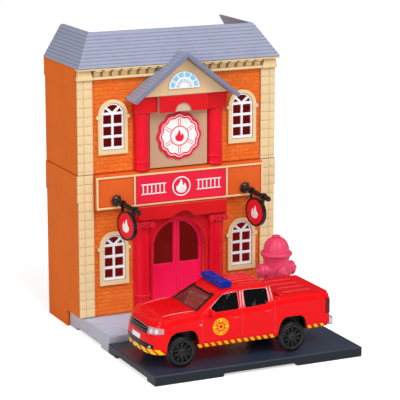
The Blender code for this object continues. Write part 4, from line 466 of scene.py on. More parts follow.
def rounded_box(left, right, low, high, radius, steps=4):
    """Rectangle with round corners, anticlockwise."""
    corners = ((right - radius, high - radius, 0), (left + radius, high - radius, 90),
               (left + radius, low + radius, 180), (right - radius, low + radius, 270))
    return np.vstack([arc((x, z), radius, start, start + 90, steps) for x, z, start in corners])


def rounded_steps(back, front, edge, steps=3):
    """(inset, depth) steps of a plate from its back to a front with a rounded edge."""
    turn = np.radians(np.linspace(0, 90, steps + 1))
    way = math.copysign(1, front - back)
    return [(0, back), *zip(edge * (1 - np.cos(turn)), front - way * edge * (1 - np.sin(turn)))]


def pilaster(side, low, top):
    """Courses of two blocks each on a thin backing strip; those beside the side band are a little wider."""
    blocks = []
    gap = BLOCK_JOINT / 2
    while top > low + 1:
        bottom = max(low, top - BLOCK_COURSE)
        outer = PILASTER_OUT + (BAND_STEP if BAND_FOOT < bottom < BAND_HEAD else 0)
        left, split, right = sorted((side * PILASTER_IN, side * BLOCK_SPLIT, side * outer))
        backing = rounded_box(left + 0.1, right - 0.1, bottom, top, 0.05, 1)
        blocks.append(plate(backing, [(0, BLOCK_BACK), (0, 0.3)]))
        for a, b in ((left, split), (split, right)):
            box = rounded_box(a + gap, b - gap, bottom + gap, top - gap, 0.25, 2)
            blocks.append(plate(box, rounded_steps(0.5, BLOCK_FRONT, PILLOW)))
        top = bottom
    return blocks


tan = moulding("stone_tan", (236, 208, 160), gloss=0.5, cloud=0.1)
for storey in STOREYS:
    for side_name, side in SIDES.items():
        dress(tan, f"{storey}_{side_name}_window_surround")
        name = f"{storey}_{side_name}_pilaster"
        low, high = corners_of(name)
        piece(name + "_blocks", pilaster(side, low[2], high[2]), tan, name)

# Cornice: one long tan moulding with a rounded ledge, a row of hollow-fronted consoles under the eave strip
# and a tapered block over each pilaster. It clips over the top edge of the upper wall.
CORNICE_LOW, CORNICE_HIGH = corners_of("cornice", STATION)
LEDGE_TOP, EAVE_STRIP_LOW = CORNICE_LOW[2] + 1.7, CORNICE_HIGH[2] - 1.2
CONSOLE_COUNT, CONSOLE_PITCH, CONSOLE_WIDTH = 19, 6.1, 4.1
CONSOLE_FRONT, CONSOLE_EDGE = -4.2, 0.18
BLOCK_FOOT, BLOCK_HEAD = (57.8, 68.4), (59.6, 67.4)
CORNICE_BACK = 1.0


def carried(outline, edge, left, right):
    """Outline carried along X, with a bevel at either end."""
    return plate(outline, [(edge, left), (0, left + edge), (0, right - edge), (edge, right)], "x")


def rounded_bar(left, right, front, low, high, edge):
    """Long bar along X: a rectangle with rounded front edges carried from its left to its right end."""
    outline = [[(CORNICE_BACK, low)], arc((front + edge, low + edge), edge, 270, 180, 3),
               arc((front + edge, high - edge), edge, 180, 90, 3), [(CORNICE_BACK, high)]]
    return carried(np.vstack(outline)[::-1], edge / 2, left, right)


def console(x):
    """Bracket: a hollow quarter round swept from the wall at its foot to a short fascia at its head."""
    low, high = LEDGE_TOP - 0.1, EAVE_STRIP_LOW + 0.1
    hollow = arc((CONSOLE_FRONT, low), (4.2, high - low - 0.8), 0, 90, 9)
    outline = np.vstack([[(0.5, high), (0.5, low)], hollow, [(CONSOLE_FRONT, high)]])[::-1]
    return carried(outline, CONSOLE_EDGE, x - CONSOLE_WIDTH / 2, x + CONSOLE_WIDTH / 2)


def end_block(side):
    """Block over a pilaster, wide at its foot and drawn in towards its head."""
    rows = ((LEDGE_TOP - 1.65, *BLOCK_FOOT, -2.0), (LEDGE_TOP, *BLOCK_FOOT, -2.0),
            (LEDGE_TOP + 0.3, BLOCK_FOOT[0] + 0.5, BLOCK_FOOT[1] - 0.3, -1.7),
            (EAVE_STRIP_LOW, *BLOCK_HEAD, -1.0))
    back = CORNICE_BACK
    return closed(np.array([[(side * inner, back, z), (side * inner, front, z), (side * outer, front, z),
                             (side * outer, back, z)] for z, inner, outer, front in rows]))


consoles = [console((index - (CONSOLE_COUNT - 1) / 2) * CONSOLE_PITCH) for index in range(CONSOLE_COUNT)]
ledge = rounded_bar(-BLOCK_FOOT[0], BLOCK_FOOT[0], -1.8, CORNICE_LOW[2], LEDGE_TOP, 0.5)
strip_ends = (CORNICE_LOW[0], CORNICE_HIGH[0])
eave_strip = rounded_bar(*strip_ends, CORNICE_LOW[1], EAVE_STRIP_LOW, CORNICE_HIGH[2], 0.35)
piece("cornice_moulding", [ledge, eave_strip, end_block(-1), end_block(1), *consoles], tan, "cornice")
# The frieze behind the consoles is painted a darker brown-tan: painted shade between the consoles.
frieze = rounded_bar(-BLOCK_HEAD[0], BLOCK_HEAD[0], 0.2, LEDGE_TOP - 0.1, EAVE_STRIP_LOW + 0.1, 0.1)
piece("cornice_frieze", [frieze], moulding("cornice_frieze_shade_tan", (168, 128, 84), gloss=0.55, cloud=0.15))


# Mansard roof: grey plastic in ten lapped courses on three sloping sides, open above the flat top deck.
# Faint darker weathering runs down it.
def slate_marks(tree):
    """Soft darker streaks down the slope."""
    return spread(tree, noise(tree, 150, 4, 0.6, (1, 1, 0.25)), 0.5, 1.6), (148, 152, 180)


slate = moulding("roof_slate", (161, 166, 189), gloss=0.45, cloud=0.1, wear_and_highlight=0.5, crevice_shade=0.6, marks=slate_marks)
dress(slate, "mansard_roof")

# Gable roof: two grey slabs over the pediment with lapped courses on top and a smooth darker edge in front.
# It hooks over the upper wall behind.
GABLE_LOW, GABLE_HIGH = corners_of("gable_roof", STATION)
GABLE_TIP, GABLE_APEX, GABLE_TIP_Z = GABLE_HIGH[0], GABLE_HIGH[2], 148.4
GABLE_SHEET, GABLE_COURSES, GABLE_LAP = 2.2, 17, 0.28
FASCIA_DEPTH = 0.7
GABLE_SLOPE = (GABLE_APEX - GABLE_TIP_Z) / GABLE_TIP
GABLE_DROP = GABLE_SHEET * math.hypot(1, GABLE_SLOPE)


def gable_outline(courses, sink):
    """Inverted V: saw-toothed courses along its top, or a plain line, and a parallel underside."""
    x = np.linspace(GABLE_TIP - 0.4, 0, courses + 1)
    foot = GABLE_APEX - GABLE_SLOPE * x - sink
    lap = GABLE_LAP if courses > 1 else 0
    right = np.stack([xyz(x[:-1], foot[:-1]), xyz(x[1:], foot[1:] - lap)], axis=1).reshape(-1, 2)
    tip = GABLE_TIP - 1.3
    under = [(x, GABLE_APEX - GABLE_SLOPE * abs(x) - GABLE_DROP) for x in (-tip, 0, tip)]
    return np.vstack([under, right, (right[:-1] * (-1, 1))[::-1]])


fascia_back = GABLE_LOW[1] + FASCIA_DEPTH
slates = plate(gable_outline(GABLE_COURSES, 0.15), [(0, fascia_back), (0, GABLE_HIGH[1])])
piece("gable_slates", [slates], slate, "gable_roof", angle=12)
edge_blue = moulding("gable_edge_blue", (124, 131, 160), gloss=0.38, cloud=0.06, wear_and_highlight=0.7)
fascia = plate(gable_outline(1, 0), [(0, fascia_back + 0.02), (0, GABLE_LOW[1] + 0.2), (0.2, GABLE_LOW[1])])
piece("gable_fascia", [fascia], edge_blue)

# Pediment and fanlight: a tan triangle behind the gable with a half-round window light pegged into it.
# The light is white with pale blue panes printed between its bars.
dress(moulding("pediment_tan", (226, 193, 150), gloss=0.5), "pediment")
FANLIGHT_LOW, FANLIGHT_HIGH = corners_of("fanlight", STATION)
FANLIGHT_FRONT, FANLIGHT_BASE = FANLIGHT_LOW[1:]
PANE_BAR_SHARE = 0.78


def fan_panes(count, inner, outer):
    """Equal panes side by side across the half round, each a ring segment as a thin plate."""
    step = 180 / count
    gap = step * (1 - PANE_BAR_SHARE) / 2
    centre = (0, FANLIGHT_BASE + 0.6)
    depths = [(0, FANLIGHT_FRONT + 0.1), (0, FANLIGHT_FRONT - 0.03), (0.08, FANLIGHT_FRONT - 0.07)]
    return [plate(np.vstack([arc(centre, outer, start + gap, start + step - gap, 5),
                             arc(centre, inner, start + step - gap, start + gap, 5)]), depths)
            for start in np.arange(count) * step]


white = moulding("window_white", (248, 248, 251), gloss=0.38, cloud=0.03, crevice_shade=0.0, wear_and_highlight=0.0, crisp=True)
piece("fanlight_frame", [plate(arc((0, FANLIGHT_BASE), FANLIGHT_HIGH[0], 0, 180, 32),
                               rounded_steps(FANLIGHT_FRONT + 0.6, FANLIGHT_FRONT, 0.3))], white, "fanlight")
pane_blue = moulding("pane_blue", (140, 214, 250), gloss=0.2, cloud=0.2, wear_and_highlight=0, crevice_shade=0.1)
pane_pale = moulding("pane_pale", (196, 216, 226), gloss=0.2, cloud=0.2, wear_and_highlight=0, crevice_shade=0.1)
piece("fanlight_panes", fan_panes(6, 6.6, 9.4), pane_blue)
piece("fanlight_inner_panes", fan_panes(7, 3.2, 5.5), pane_pale)

# Window frames: white lattices clipped into the arched holes from behind, four alike.
# Each is one moulding of an arched rim, an upright, three cross bars and two spokes.
FRAME_RIM, FRAME_BAR, FRAME_CROSS_BAR, FRAME_DEPTH = 0.85, 1.4, 1.7, 1.1
FRAME_ROW, FRAME_FOOT = 7.2, 1.6
SPOKE_ANGLE, SPOKE_LENGTH, SPOKE_HALF = 42.0, 7.0, 0.75


def band(outer, inner, back, front):
    """Flat closed band between two outlines of as many points each, carried round both."""
    rings = ((outer, back), (outer, front), (inner, front), (inner, back), (outer, back))
    return closed(np.stack([xyz(ring[:, 0], depth, ring[:, 1]) for ring, depth in rings]), capped=False)


def spoke(foot, angle, start, end, half, shift=0):
    """Corners of a straight bar that runs between two distances from its foot, angle in degrees."""
    way = np.array([math.cos(math.radians(angle)), math.sin(math.radians(angle))])
    turn = np.array([-way[1], way[0]])
    return np.array([foot + way * r + turn * (shift + s)
                     for r, s in ((start, -half), (end, -half), (end, half), (start, half))])


def window_frame(x, low, high, front, half):
    """Arched rim with an upright, three cross bars and two spokes in its head, stepped back a hair each."""
    def arch(edge, foot):
        return np.vstack([[(x - edge, foot), (x + edge, foot)], arc((x, high - half), edge, 0, 180, 24)])

    base, bar = low + FRAME_FOOT, FRAME_BAR / 2
    head = base + 3 * FRAME_ROW
    bars = [(rounded_box(x - bar, x + bar, base - 0.2, head, 0.1, 1), 0.04)]
    for row in (1, 2, 3):
        top = base + row * FRAME_ROW
        bars.append((rounded_box(x - half + 0.2, x + half - 0.2, top - FRAME_CROSS_BAR, top, 0.1, 1), 0.08))
    for angle, step in ((SPOKE_ANGLE, 0.12), (180 - SPOKE_ANGLE, 0.16)):
        bars.append((spoke((x, head - 0.9), angle, 0, SPOKE_LENGTH, SPOKE_HALF), step))
    rim = band(arch(half, low), arch(half - FRAME_RIM, base), front + FRAME_DEPTH, front)
    return [rim] + [plate(outline, rounded_steps(front + FRAME_DEPTH - step, front + step, 0.22))
                    for outline, step in bars]


for name in [f"{storey}_{side_name}_window_frame" for storey in STOREYS for side_name in SIDES]:
    low, high = corners_of(name, STATION)
    lattice = window_frame((low[0] + high[0]) / 2, low[2], high[2], low[1], (high[0] - low[0]) / 2)
    piece(name + "_lattice", lattice, white, name)

# Upper portico: a red beam on two half-round columns, a tan block with a red face in the middle of the
# beam, and a brown-tan panel between the columns. All are pegged on to the upper wall.
COLUMN_RADIUS, COLUMN_FRONT = 4.75, 0.7
dress(moulding("panel_brown", (204, 166, 136), gloss=0.5, cloud=0.1), "upper_panel")
dress(moulding("lintel_tan", (214, 184, 158), gloss=0.5, cloud=0.08), "lintel_core")
red = moulding("portico_red", (220, 18, 28), gloss=0.36, cloud=0.1, wear_and_highlight=0.9, shine=0.12, coat=0.06)
dress(red, "upper_lintel", "lintel_face", "entablature")


def column(x, low, high):
    """Half-round column against the wall: a shaft with a slight swell and rings at its foot and its head."""
    height = high - low
    share = np.linspace(0, 1, 40)
    swell = COLUMN_RADIUS * (1 + 0.03 * np.sin(np.pi * share))
    for place, thick, proud in ((0.8, 0.9, 0.45), (5.6, 0.6, 0.42), (height - 0.9, 1.1, 0.45),
                                (height - 3.2, 0.5, 0.35)):
        swell = swell + proud * np.exp(-((share * height - place) / thick) ** 4)
    turn = np.radians(np.linspace(180, 360, 25))
    return closed(xyz(x + swell[:, None] * np.cos(turn), COLUMN_FRONT + swell[:, None] * np.sin(turn),
                      low + share[:, None] * height))


column_red = moulding("column_red", (234, 16, 42), gloss=0.34, cloud=0.1, wear_and_highlight=0.9, shine=0.12, coat=0.06)
for name in [f"upper_{side_name}_column" for side_name in SIDES]:
    low, high = corners_of(name, STATION)
    piece(name + "_shaft", [column((low[0] + high[0]) / 2, low[2], high[2])], column_red, name)

# Badge: a scalloped red roundel with a white rim line and a white field, printed and pegged to the panel.
# Its field carries a plain flame inside a ring and six pairs of rays.
BADGE_LOW, BADGE_HIGH = corners_of("badge", STATION)
BADGE_CENTRE = (BADGE_LOW + BADGE_HIGH) / 2 * (1, 0, 1)
BADGE_RADIUS = BADGE_HIGH[0] - BADGE_CENTRE[0]
LOBES, LOBE_RISE = 12, 0.45
FIELD_RADIUS, RING_RADIUS = 12.0, 6.4
PRINT_LIFT = 0.06


def scallop(radius):
    """Circle whose radius dips between its lobes, by a cube of a sine."""
    angle = np.linspace(0, 2 * np.pi, 144, endpoint=False)
    reach = radius - LOBE_RISE * 2 * np.abs(np.sin(angle * LOBES / 2)) ** 3
    return xyz(reach * np.cos(angle), reach * np.sin(angle))


def flame(height):
    """Flame outline: a few corners, smoothed by cutting each side at its quarters, three times over."""
    corners = np.array([(0.04, -0.5), (0.3, -0.44), (0.42, -0.16), (0.34, 0.12), (0.27, 0.26), (0.2, 0.02),
                        (0.1, 0.1), (0.1, 0.34), (-0.06, 0.56), (-0.1, 0.3), (-0.26, 0.1), (-0.3, -0.02),
                        (-0.38, 0.1), (-0.42, -0.2), (-0.26, -0.44)])
    for _ in range(3):
        ahead = np.roll(corners, -1, axis=0)
        cuts = [0.75 * corners + 0.25 * ahead, 0.25 * corners + 0.75 * ahead]
        corners = np.stack(cuts, axis=1).reshape(-1, 2)
    return corners * height


def circle(radius, steps):
    """Circle about the middle of a print."""
    return arc((0, 0), radius, 0, 360, steps)[:-1]


def moved(shapes, way):
    """The same shapes, moved."""
    return [(points + way, faces) for points, faces in shapes]


board_red = moulding("board_red", (238, 28, 62), gloss=0.34, cloud=0.06)
white_print = moulding("print_white", (250, 248, 248), gloss=0.4, cloud=0.04, wear_and_highlight=0, crevice_shade=0.1)
badge_front = BADGE_LOW[1] + 0.2
first, second, third = (badge_front - PRINT_LIFT * layer for layer in range(3))
badge_disc = plate(scallop(BADGE_RADIUS), rounded_steps(BADGE_HIGH[1], badge_front, 0.35))
white_parts = [band(scallop(BADGE_RADIUS - 1.7), scallop(BADGE_RADIUS - 2.25), first, second),
               plate(scallop(FIELD_RADIUS), [(0, first), (0, second)])]
rays = [spoke((0, 0), 30 + 60 * index, RING_RADIUS, FIELD_RADIUS - 0.6, 0.2, offset)
        for index in range(6) for offset in (-0.75, 0.75)]
red_parts = [plate(outline, [(0, second), (0, third)]) for outline in rays + [flame(7.4)]]
red_parts.append(band(circle(RING_RADIUS, 72), circle(RING_RADIUS * 0.9, 72), second, third))
piece("badge_disc", moved([badge_disc], BADGE_CENTRE), board_red, "badge")
piece("badge_white_print", moved(white_parts, BADGE_CENTRE), white_print)
piece("badge_red_print", moved(red_parts, BADGE_CENTRE), board_red)

# Belt between the storeys: smooth orange with tan strips and a red board, whose white print is a plain row
# of a ladder, a flame in a ring and a ladder.
BOARD_LOW, BOARD_HIGH = corners_of("sign_board", STATION)
BOARD_MIDDLE = (BOARD_LOW[2] + BOARD_HIGH[2]) / 2
BOARD_PRINT = rounded_steps(BOARD_LOW[1] + 0.05, BOARD_LOW[1] - 0.18, 0.08, 2)
LADDER_PLACE, LADDER_LENGTH, LADDER_HALF = 19.0, 17.0, 3.0
LADDER_BAR, LADDER_RUNGS = 0.75, 6
BOARD_RING, BOARD_RING_INSIDE = 6.3, 0.87
dress(moulding("belt_orange", (230, 98, 34), cloud=0.08), "belt")
dress(moulding("strip_tan", (244, 214, 164), gloss=0.45, cloud=0.06), "belt_strips")
dress(board_red, "sign_board")


def ladder(x):
    """Ladder lying on its side: two rails and its rungs, all as thin bars."""
    rail, bar = LADDER_LENGTH / 2, LADDER_BAR / 2
    bars = [(x - rail, x + rail, side * LADDER_HALF - bar, side * LADDER_HALF + bar) for side in (-1, 1)]
    for place in x + np.linspace(-0.42, 0.42, LADDER_RUNGS) * LADDER_LENGTH:
        bars.append((place - bar, place + bar, -LADDER_HALF, LADDER_HALF))
    return [plate(rounded_box(*bar, 0.15, 2), BOARD_PRINT) for bar in bars]


board_print = ladder(-LADDER_PLACE) + ladder(LADDER_PLACE) + [plate(flame(8.8), BOARD_PRINT)]
rings = circle(BOARD_RING, 60), circle(BOARD_RING * BOARD_RING_INSIDE, 60)
board_print.append(band(*rings, BOARD_PRINT[0][1], BOARD_PRINT[-1][1]))
piece("board_print", moved(board_print, (0, 0, BOARD_MIDDLE)), white_print)

# Lower portico: one red moulding with the doorway arch and two half-round columns whose capitals carry
# scrolls; the block above it has a shallow arch in its underside. Hidden pegs hold them.
smoothed(column_red, "lower_portico")
PORTICO_LOW, PORTICO_HIGH = corners_of("lower_portico", STATION)
LOWER_COLUMN_X = 25.4
SCROLL_SPREAD, SCROLL_REACH, SCROLL_TURNS = 3.7, 1.75, 1.75
SCROLL_Z, SCROLL_FRONT = PORTICO_HIGH[2] - 2.5, PORTICO_LOW[1] - 0.05
LEAF_PLACES = (-1.7, 0, 1.7)
ARCH_BACK_BOX = (-14, 14, 69.6, 77.4)


def tube(path, radius, across, sides):
    """Round section carried along a path; across is a direction that the path is never parallel to."""
    forward = np.gradient(path, axis=0)
    forward /= np.linalg.norm(forward, axis=1)[:, None]
    first = np.cross(forward, across)
    first /= np.linalg.norm(first, axis=1)[:, None]
    second = np.cross(forward, first)
    angle = np.linspace(0, 2 * np.pi, sides, endpoint=False)[:, None]
    ring = np.cos(angle) * first[:, None] + np.sin(angle) * second[:, None]
    return closed(path[:, None] + ring * np.broadcast_to(radius, len(path))[:, None, None])


def scroll(x, hand):
    """Volute: a spiral of one and three quarter turns that thins towards its eye."""
    share = np.linspace(0, 1, 60)
    turn = hand * (math.pi / 2 - share * 2 * SCROLL_TURNS * math.pi)
    reach = SCROLL_REACH * (1 - share * 0.85)
    path = xyz(x + reach * np.cos(turn), SCROLL_FRONT, SCROLL_Z + reach * np.sin(turn) * hand)
    return tube(path, 0.32 * (1 - share * 0.5), (0, 1, 0), 8)


def leaf(x):
    """Upright leaf: a pointed bulge on the capital's bell."""
    share = np.linspace(0, 1, 12)[:, None]
    turn = np.linspace(0, 2 * np.pi, 16, endpoint=False)
    half = 0.8 * np.sin(np.pi * np.clip(share * 0.9 + 0.08, 0, 1)) ** 0.7
    proud = 0.9 * np.sin(np.pi * share * 0.8) * (1 + 0.5 * np.sin(turn))
    return closed(xyz(x + half * np.cos(turn), SCROLL_FRONT + 0.9 - proud, SCROLL_Z - 3.4 + share * 2.6))


capitals = []
for side in (-1, 1):
    capitals += [scroll(side * LOWER_COLUMN_X + hand * SCROLL_SPREAD, hand) for hand in (-1, 1)]
    capitals += [leaf(side * LOWER_COLUMN_X + shift) for shift in LEAF_PLACES]
piece("portico_capital_scrolls", capitals, column_red)
arch_back = plate(rounded_box(*ARCH_BACK_BOX, 0.3), [(0, 1.4), (0, 0.3), (0.2, 0.1)])
piece("portico_arch_back", [arch_back], red)

# Doors: two pink-red leaves on moulded pivots, with half of a round head each and an open window above.
# A faint emission on them is painted light that lifts the shade in the recessed doorway.
door_red = moulding("door_red", (246, 22, 80), gloss=0.34, wear_and_highlight=1.1, shine=0.15, glow=0.1)
smoothed(door_red, "left_door", "right_door")

# Hanging signs: a black rosette and turned bar on the belt, and a black-rimmed disc that swings on the bar
# by two eyes. The disc's red faces carry a plain white flame.
black = moulding("sign_black", (30, 20, 22), gloss=0.26, cloud=0.1, wear_and_highlight=0.4, shine=0.4)
smoothed(black, "left_sign_disc", "right_sign_disc")
SIGN_PLACE = np.array([44.45, -3.6, 85.5])
BAR_WAY = np.array([0.205888, -0.968628, -0.139173])
FACE_WAY = np.cross(BAR_WAY, (0, 0, 1)) / np.linalg.norm(np.cross(BAR_WAY, (0, 0, 1)))
UP_WAY = np.cross(FACE_WAY, BAR_WAY)
DISC_ALONG, DISC_DROP, DISC_HALF, FACE_RADIUS = 13.8, 12.2, 1.2, 8.1
PETALS, PETAL_DEPTH = 8, 0.1225
BAR_PROFILE = (
    (0, 0.1), (3.5, 0.1), (3.7, 0.5), (3.65, 1.0), (3.3, 1.4), (3.1, 1.5), (2.7, 2.0), (2.3, 2.2), (2.0, 2.8),
    (1.6, 3.2), (1.55, 4.6), (1.55, 5.6), (1.45, 6.4), (1.2, 6.6), (1.2, 8.6), (1.45, 8.8), (1.6, 9.4),
    (1.6, 13.0), (1.6, 18.2), (1.45, 18.8), (1.2, 19.0), (1.2, 21.0), (1.45, 21.2), (1.6, 21.8), (1.65, 24.6),
    (1.5, 25.4), (1.1, 25.9), (0.5, 26.1), (0, 26.1))


def turned(profile, sides, axis, centre=(0, 0, 0)):
    """Profile of (radius, height) points turned about the third of three axes; zero radii close in a pole."""
    profile = np.asarray(profile, float)
    angle = np.linspace(0, 2 * np.pi, sides, endpoint=False)[:, None]
    across, up, along = np.asarray(axis, float)
    spokes = np.cos(angle) * across + np.sin(angle) * up
    return closed(profile[:, :1, None] * spokes + profile[:, 1:, None] * along + centre, capped=False)


def sign_bar():
    """Turned rosette and bar whose widest part is scalloped into petals."""
    points, faces = turned(BAR_PROFILE, 64, (FACE_WAY, UP_WAY, BAR_WAY))
    along = (points @ BAR_WAY)[:, None] * BAR_WAY
    out = points - along
    wave = 0.5 - 0.5 * np.cos(np.arctan2(out @ UP_WAY, out @ FACE_WAY) * PETALS)
    cut = 1 - PETAL_DEPTH * np.clip((np.linalg.norm(out, axis=1) - 2.2) / 1.5, 0, 1) * wave
    return out * cut[:, None] + along, faces


def both_faces(outline, steps, lift):
    """Plate drawn as (across, depth, up) and laid on both faces of a hanging disc."""
    points, faces = plate(outline, steps)
    flat = points[:, 2:] * UP_WAY - points[:, :1] * BAR_WAY
    return [(flat + way * (lift - points[:, 1:2]) * FACE_WAY, faces) for way in (1, -1)]


face_red = moulding("sign_face_red", (242, 28, 50), gloss=0.32, cloud=0.05)
disc, mark = circle(FACE_RADIUS, 64), flame(8.6)
disc_steps, mark_steps = rounded_steps(0, -0.28, 0.1, 2), rounded_steps(0, -0.1, 0.04, 2)
for side_name, side in SIDES.items():
    hook = SIGN_PLACE * (side, 1, 1)
    centre = hook + DISC_ALONG * BAR_WAY - DISC_DROP * UP_WAY
    piece(f"{side_name}_sign_bar", moved([sign_bar()], hook), black, f"{side_name}_sign_bracket")
    red_faces = both_faces(disc, disc_steps, DISC_HALF - 0.42)
    white_marks = both_faces(mark, mark_steps, DISC_HALF - 0.18)
    body = f"{side_name}_sign"
    piece(body + "_faces", moved(red_faces, centre), face_red, body=body)
    piece(body + "_print", moved(white_marks, centre), white_print, body=body)

# Hydrant: one semi-matt red moulding with a fluted dome, a thick flange, three capped outlets and a flared
# foot, plugged into the sidewalk.
HYDRANT_PLACE = np.array([54.2, -30.0, corners_of("hydrant")[0][2]])
OUTLET_Z, OUTLET_RADIUS, OUTLET_REACH = 25.8, 4.3, 14.4
DOME_RADIUS, DOME_HEIGHT, DOME_FOOT, FLUTES = 8.5, 9.6, 37.7, 8
FLANGE_Z, FLANGE_RADIUS, FLANGE_HALF = 36.2, 8.6, 1.6


def hydrant_body():
    """Turned body: flared foot, barrel, flange and dome; the dome's radius swells between its flutes."""
    z = np.linspace(0, 32.6, 60)
    barrel = 8.2 + 1.4 * np.exp(-z / 1.6) - 0.25 * np.sin(np.clip((z - 3) / 30, 0, 1) * np.pi)
    rim, dome = np.radians(np.linspace(-90, 90, 11)), np.radians(np.linspace(0, 78, 26))
    rows = [(0, 0), *zip(barrel, z), (8.5, 32.9), (8.6, 33.4), (8.45, 33.9),
            *zip(FLANGE_RADIUS + FLANGE_HALF * np.cos(rim), FLANGE_Z + 1.55 * np.sin(rim)),
            *zip(DOME_RADIUS * np.cos(dome) ** 0.9, DOME_FOOT + DOME_HEIGHT * np.sin(dome)),
            (2.6, 47.2), (2.75, 47.6), (2.5, 48.0), (1.6, 48.15), (0, 48.2)]
    points, faces = turned(rows, 96, np.eye(3))
    angle, height = np.arctan2(points[:, 1], points[:, 0]), points[:, 2]
    on_dome = np.clip((height - 37.6) / 0.8, 0, 1) * np.clip((46.6 - height) / 1.5, 0, 1)
    flute = np.abs(np.cos(angle * FLUTES / 2 + 0.55)) ** 0.5
    scale = 1 - 0.085 * on_dome * (1 - flute) ** 1.2
    return points * xyz(scale, scale, 1), faces


def outlet(degrees):
    """Capped outlet: a neck that flares into the barrel and a cap with three rings and a nut."""
    angle, wide, end = math.radians(degrees), OUTLET_RADIUS, OUTLET_REACH
    neck = ((0, 5.6), (wide + 1.6, 5.6), (wide + 0.7, 7.2), (wide + 0.1, 8.6), (wide, 9.6),
            (wide + 0.3, 10.0), (wide + 0.3, end - 3.0), (wide, end - 2.4))
    cap = ((3.4, 1.9), (3.15, 2.15), (2.9, 1.7), (2.3, 1.35), (2.1, 1.6), (1.85, 1.15), (1.3, 0.75),
           (1.2, 0.2), (0.9, 0), (0, 0))
    axis = ((-math.sin(angle), math.cos(angle), 0), (0, 0, 1), (math.cos(angle), math.sin(angle), 0))
    return turned(neck + tuple((r, end - back) for r, back in cap), 40, axis, (0, 0, OUTLET_Z))


hydrant_red = moulding("hydrant_red", (238, 66, 108), gloss=0.46, wear_and_highlight=0.4, relief=0.03, shine=0.5)
hydrant = [hydrant_body(), outlet(180), outlet(0), outlet(-90)]
piece("hydrant_moulding", moved(hydrant, HYDRANT_PLACE), hydrant_red, "hydrant", angle=40)

# Pickup truck: a die-cast shell in red enamel. The lower body is one surface drawn round a plan curve, the
# cab is a stack of rings; both are joined, hollowed for the cabin and cut for the windows and wheel arches.
TRUCK_LOW, TRUCK_HIGH = corners_of("truck_body")
TRUCK = np.array([TRUCK_LOW[0] + 21.1, (TRUCK_LOW[1] + TRUCK_HIGH[1]) / 2, TRUCK_LOW[2] - 8.77])
ORIGINS.update(truck=TRUCK, front_wheels=TRUCK, rear_wheels=TRUCK)
NOSE_X, NOSE_LENGTH, NOSE_POWER = -19.9, 12.4, 3.0
TAIL_X, TAIL_RADIUS = 97.9, 1.8
BODY_HALF, WHEELBASE, SCREEN_BOW = 22.0, 72.2, 2.2
SEAMS, SEAM_DEPTH = (13.2, 39.2, 60.4), 0.3
SPINE = (-13.0, -7.5, 88.0, 92.0)


def plan_curve():
    """Half of the body's outline from above: superellipse nose, straight side, rounded tail corner, tail."""
    turn = np.radians(np.linspace(0, 90, 26))
    nose = xyz(NOSE_X + NOSE_LENGTH * (1 - np.cos(turn) ** (2 / NOSE_POWER)),
               BODY_HALF * np.sin(turn) ** (2 / NOSE_POWER))
    along = np.linspace(NOSE_X + NOSE_LENGTH, TAIL_X - TAIL_RADIUS, 112)
    fine = np.ravel([[seam - 0.3, seam - 0.02, seam + 0.02, seam + 0.3] for seam in SEAMS])
    along = np.sort(np.concatenate([along[np.abs(along[:, None] - SEAMS).min(axis=1) > 0.45], fine]))[1:-1]
    corner = arc((TAIL_X - TAIL_RADIUS, BODY_HALF - TAIL_RADIUS), TAIL_RADIUS, 90, 0, 6)
    tail = xyz(TAIL_X, np.linspace(BODY_HALF - TAIL_RADIUS, 0, 10)[1:])
    return np.vstack([nose, xyz(along, BODY_HALF), corner, tail])


def body_low(x):
    """Height of the body's lower edge: chin, sill and the raised edge behind the rear wheels."""
    return np.interp(x, (NOSE_X, -14, -8, 10, 60, 82, TAIL_X), (9.0, 8.4, 8.8, 9.9, 10.1, 12.2, 13.2))


def body_shoulder(x):
    """Height of the edge between the side and the hood, the doors' waist and the bed rail."""
    places = (NOSE_X, -15, -4, 9, 18, 40, 58, 64, 70, TAIL_X)
    heights = (26.4, 27.5, 28.8, 30.0, 29.6, 29.9, 31.3, 32.8, 33.0, 32.7)
    return sum(np.interp(x + step, places, heights) for step in (-3, -1.5, 0, 1.5, 3)) / 5


def body_lean(x, z):
    """How far the side stands in from the plan curve: tucked sill, leaning waist, less the arches' flares."""
    low, high = body_low(x), body_shoulder(x)
    ahead = np.clip((-6 - x) / 12, 0, 1)
    tuck = (1.2 - 0.5 * ahead) * np.clip(1 - (z - low) / 3.6, 0, 1) ** 1.6
    crease = 0.2 * np.exp(-((z - 14.2) / 0.8) ** 2) * np.clip(5 - np.abs(x - 36) / 5, 0, 1)
    lean = 0.9 * np.clip((z - high + 5.5) / 5.5, 0, 1) ** 2.2
    slope = 2.6 * ahead * np.clip((z - 15.5) / np.maximum(high - 15.5, 1), 0, 1) ** 1.5
    flare = 0
    for centre, top in ((0.4, 22.0), (WHEELBASE + 0.3, 22.4)):
        away = np.maximum(np.abs(x - centre) - 9.4, (z - top + 1.2) * 1.1)
        flare = flare + np.exp(-(np.clip(away, 0, None) / 1.7) ** 2)
    return tuck - crease + lean + slope - 0.55 * np.clip(flare, 0, 1)


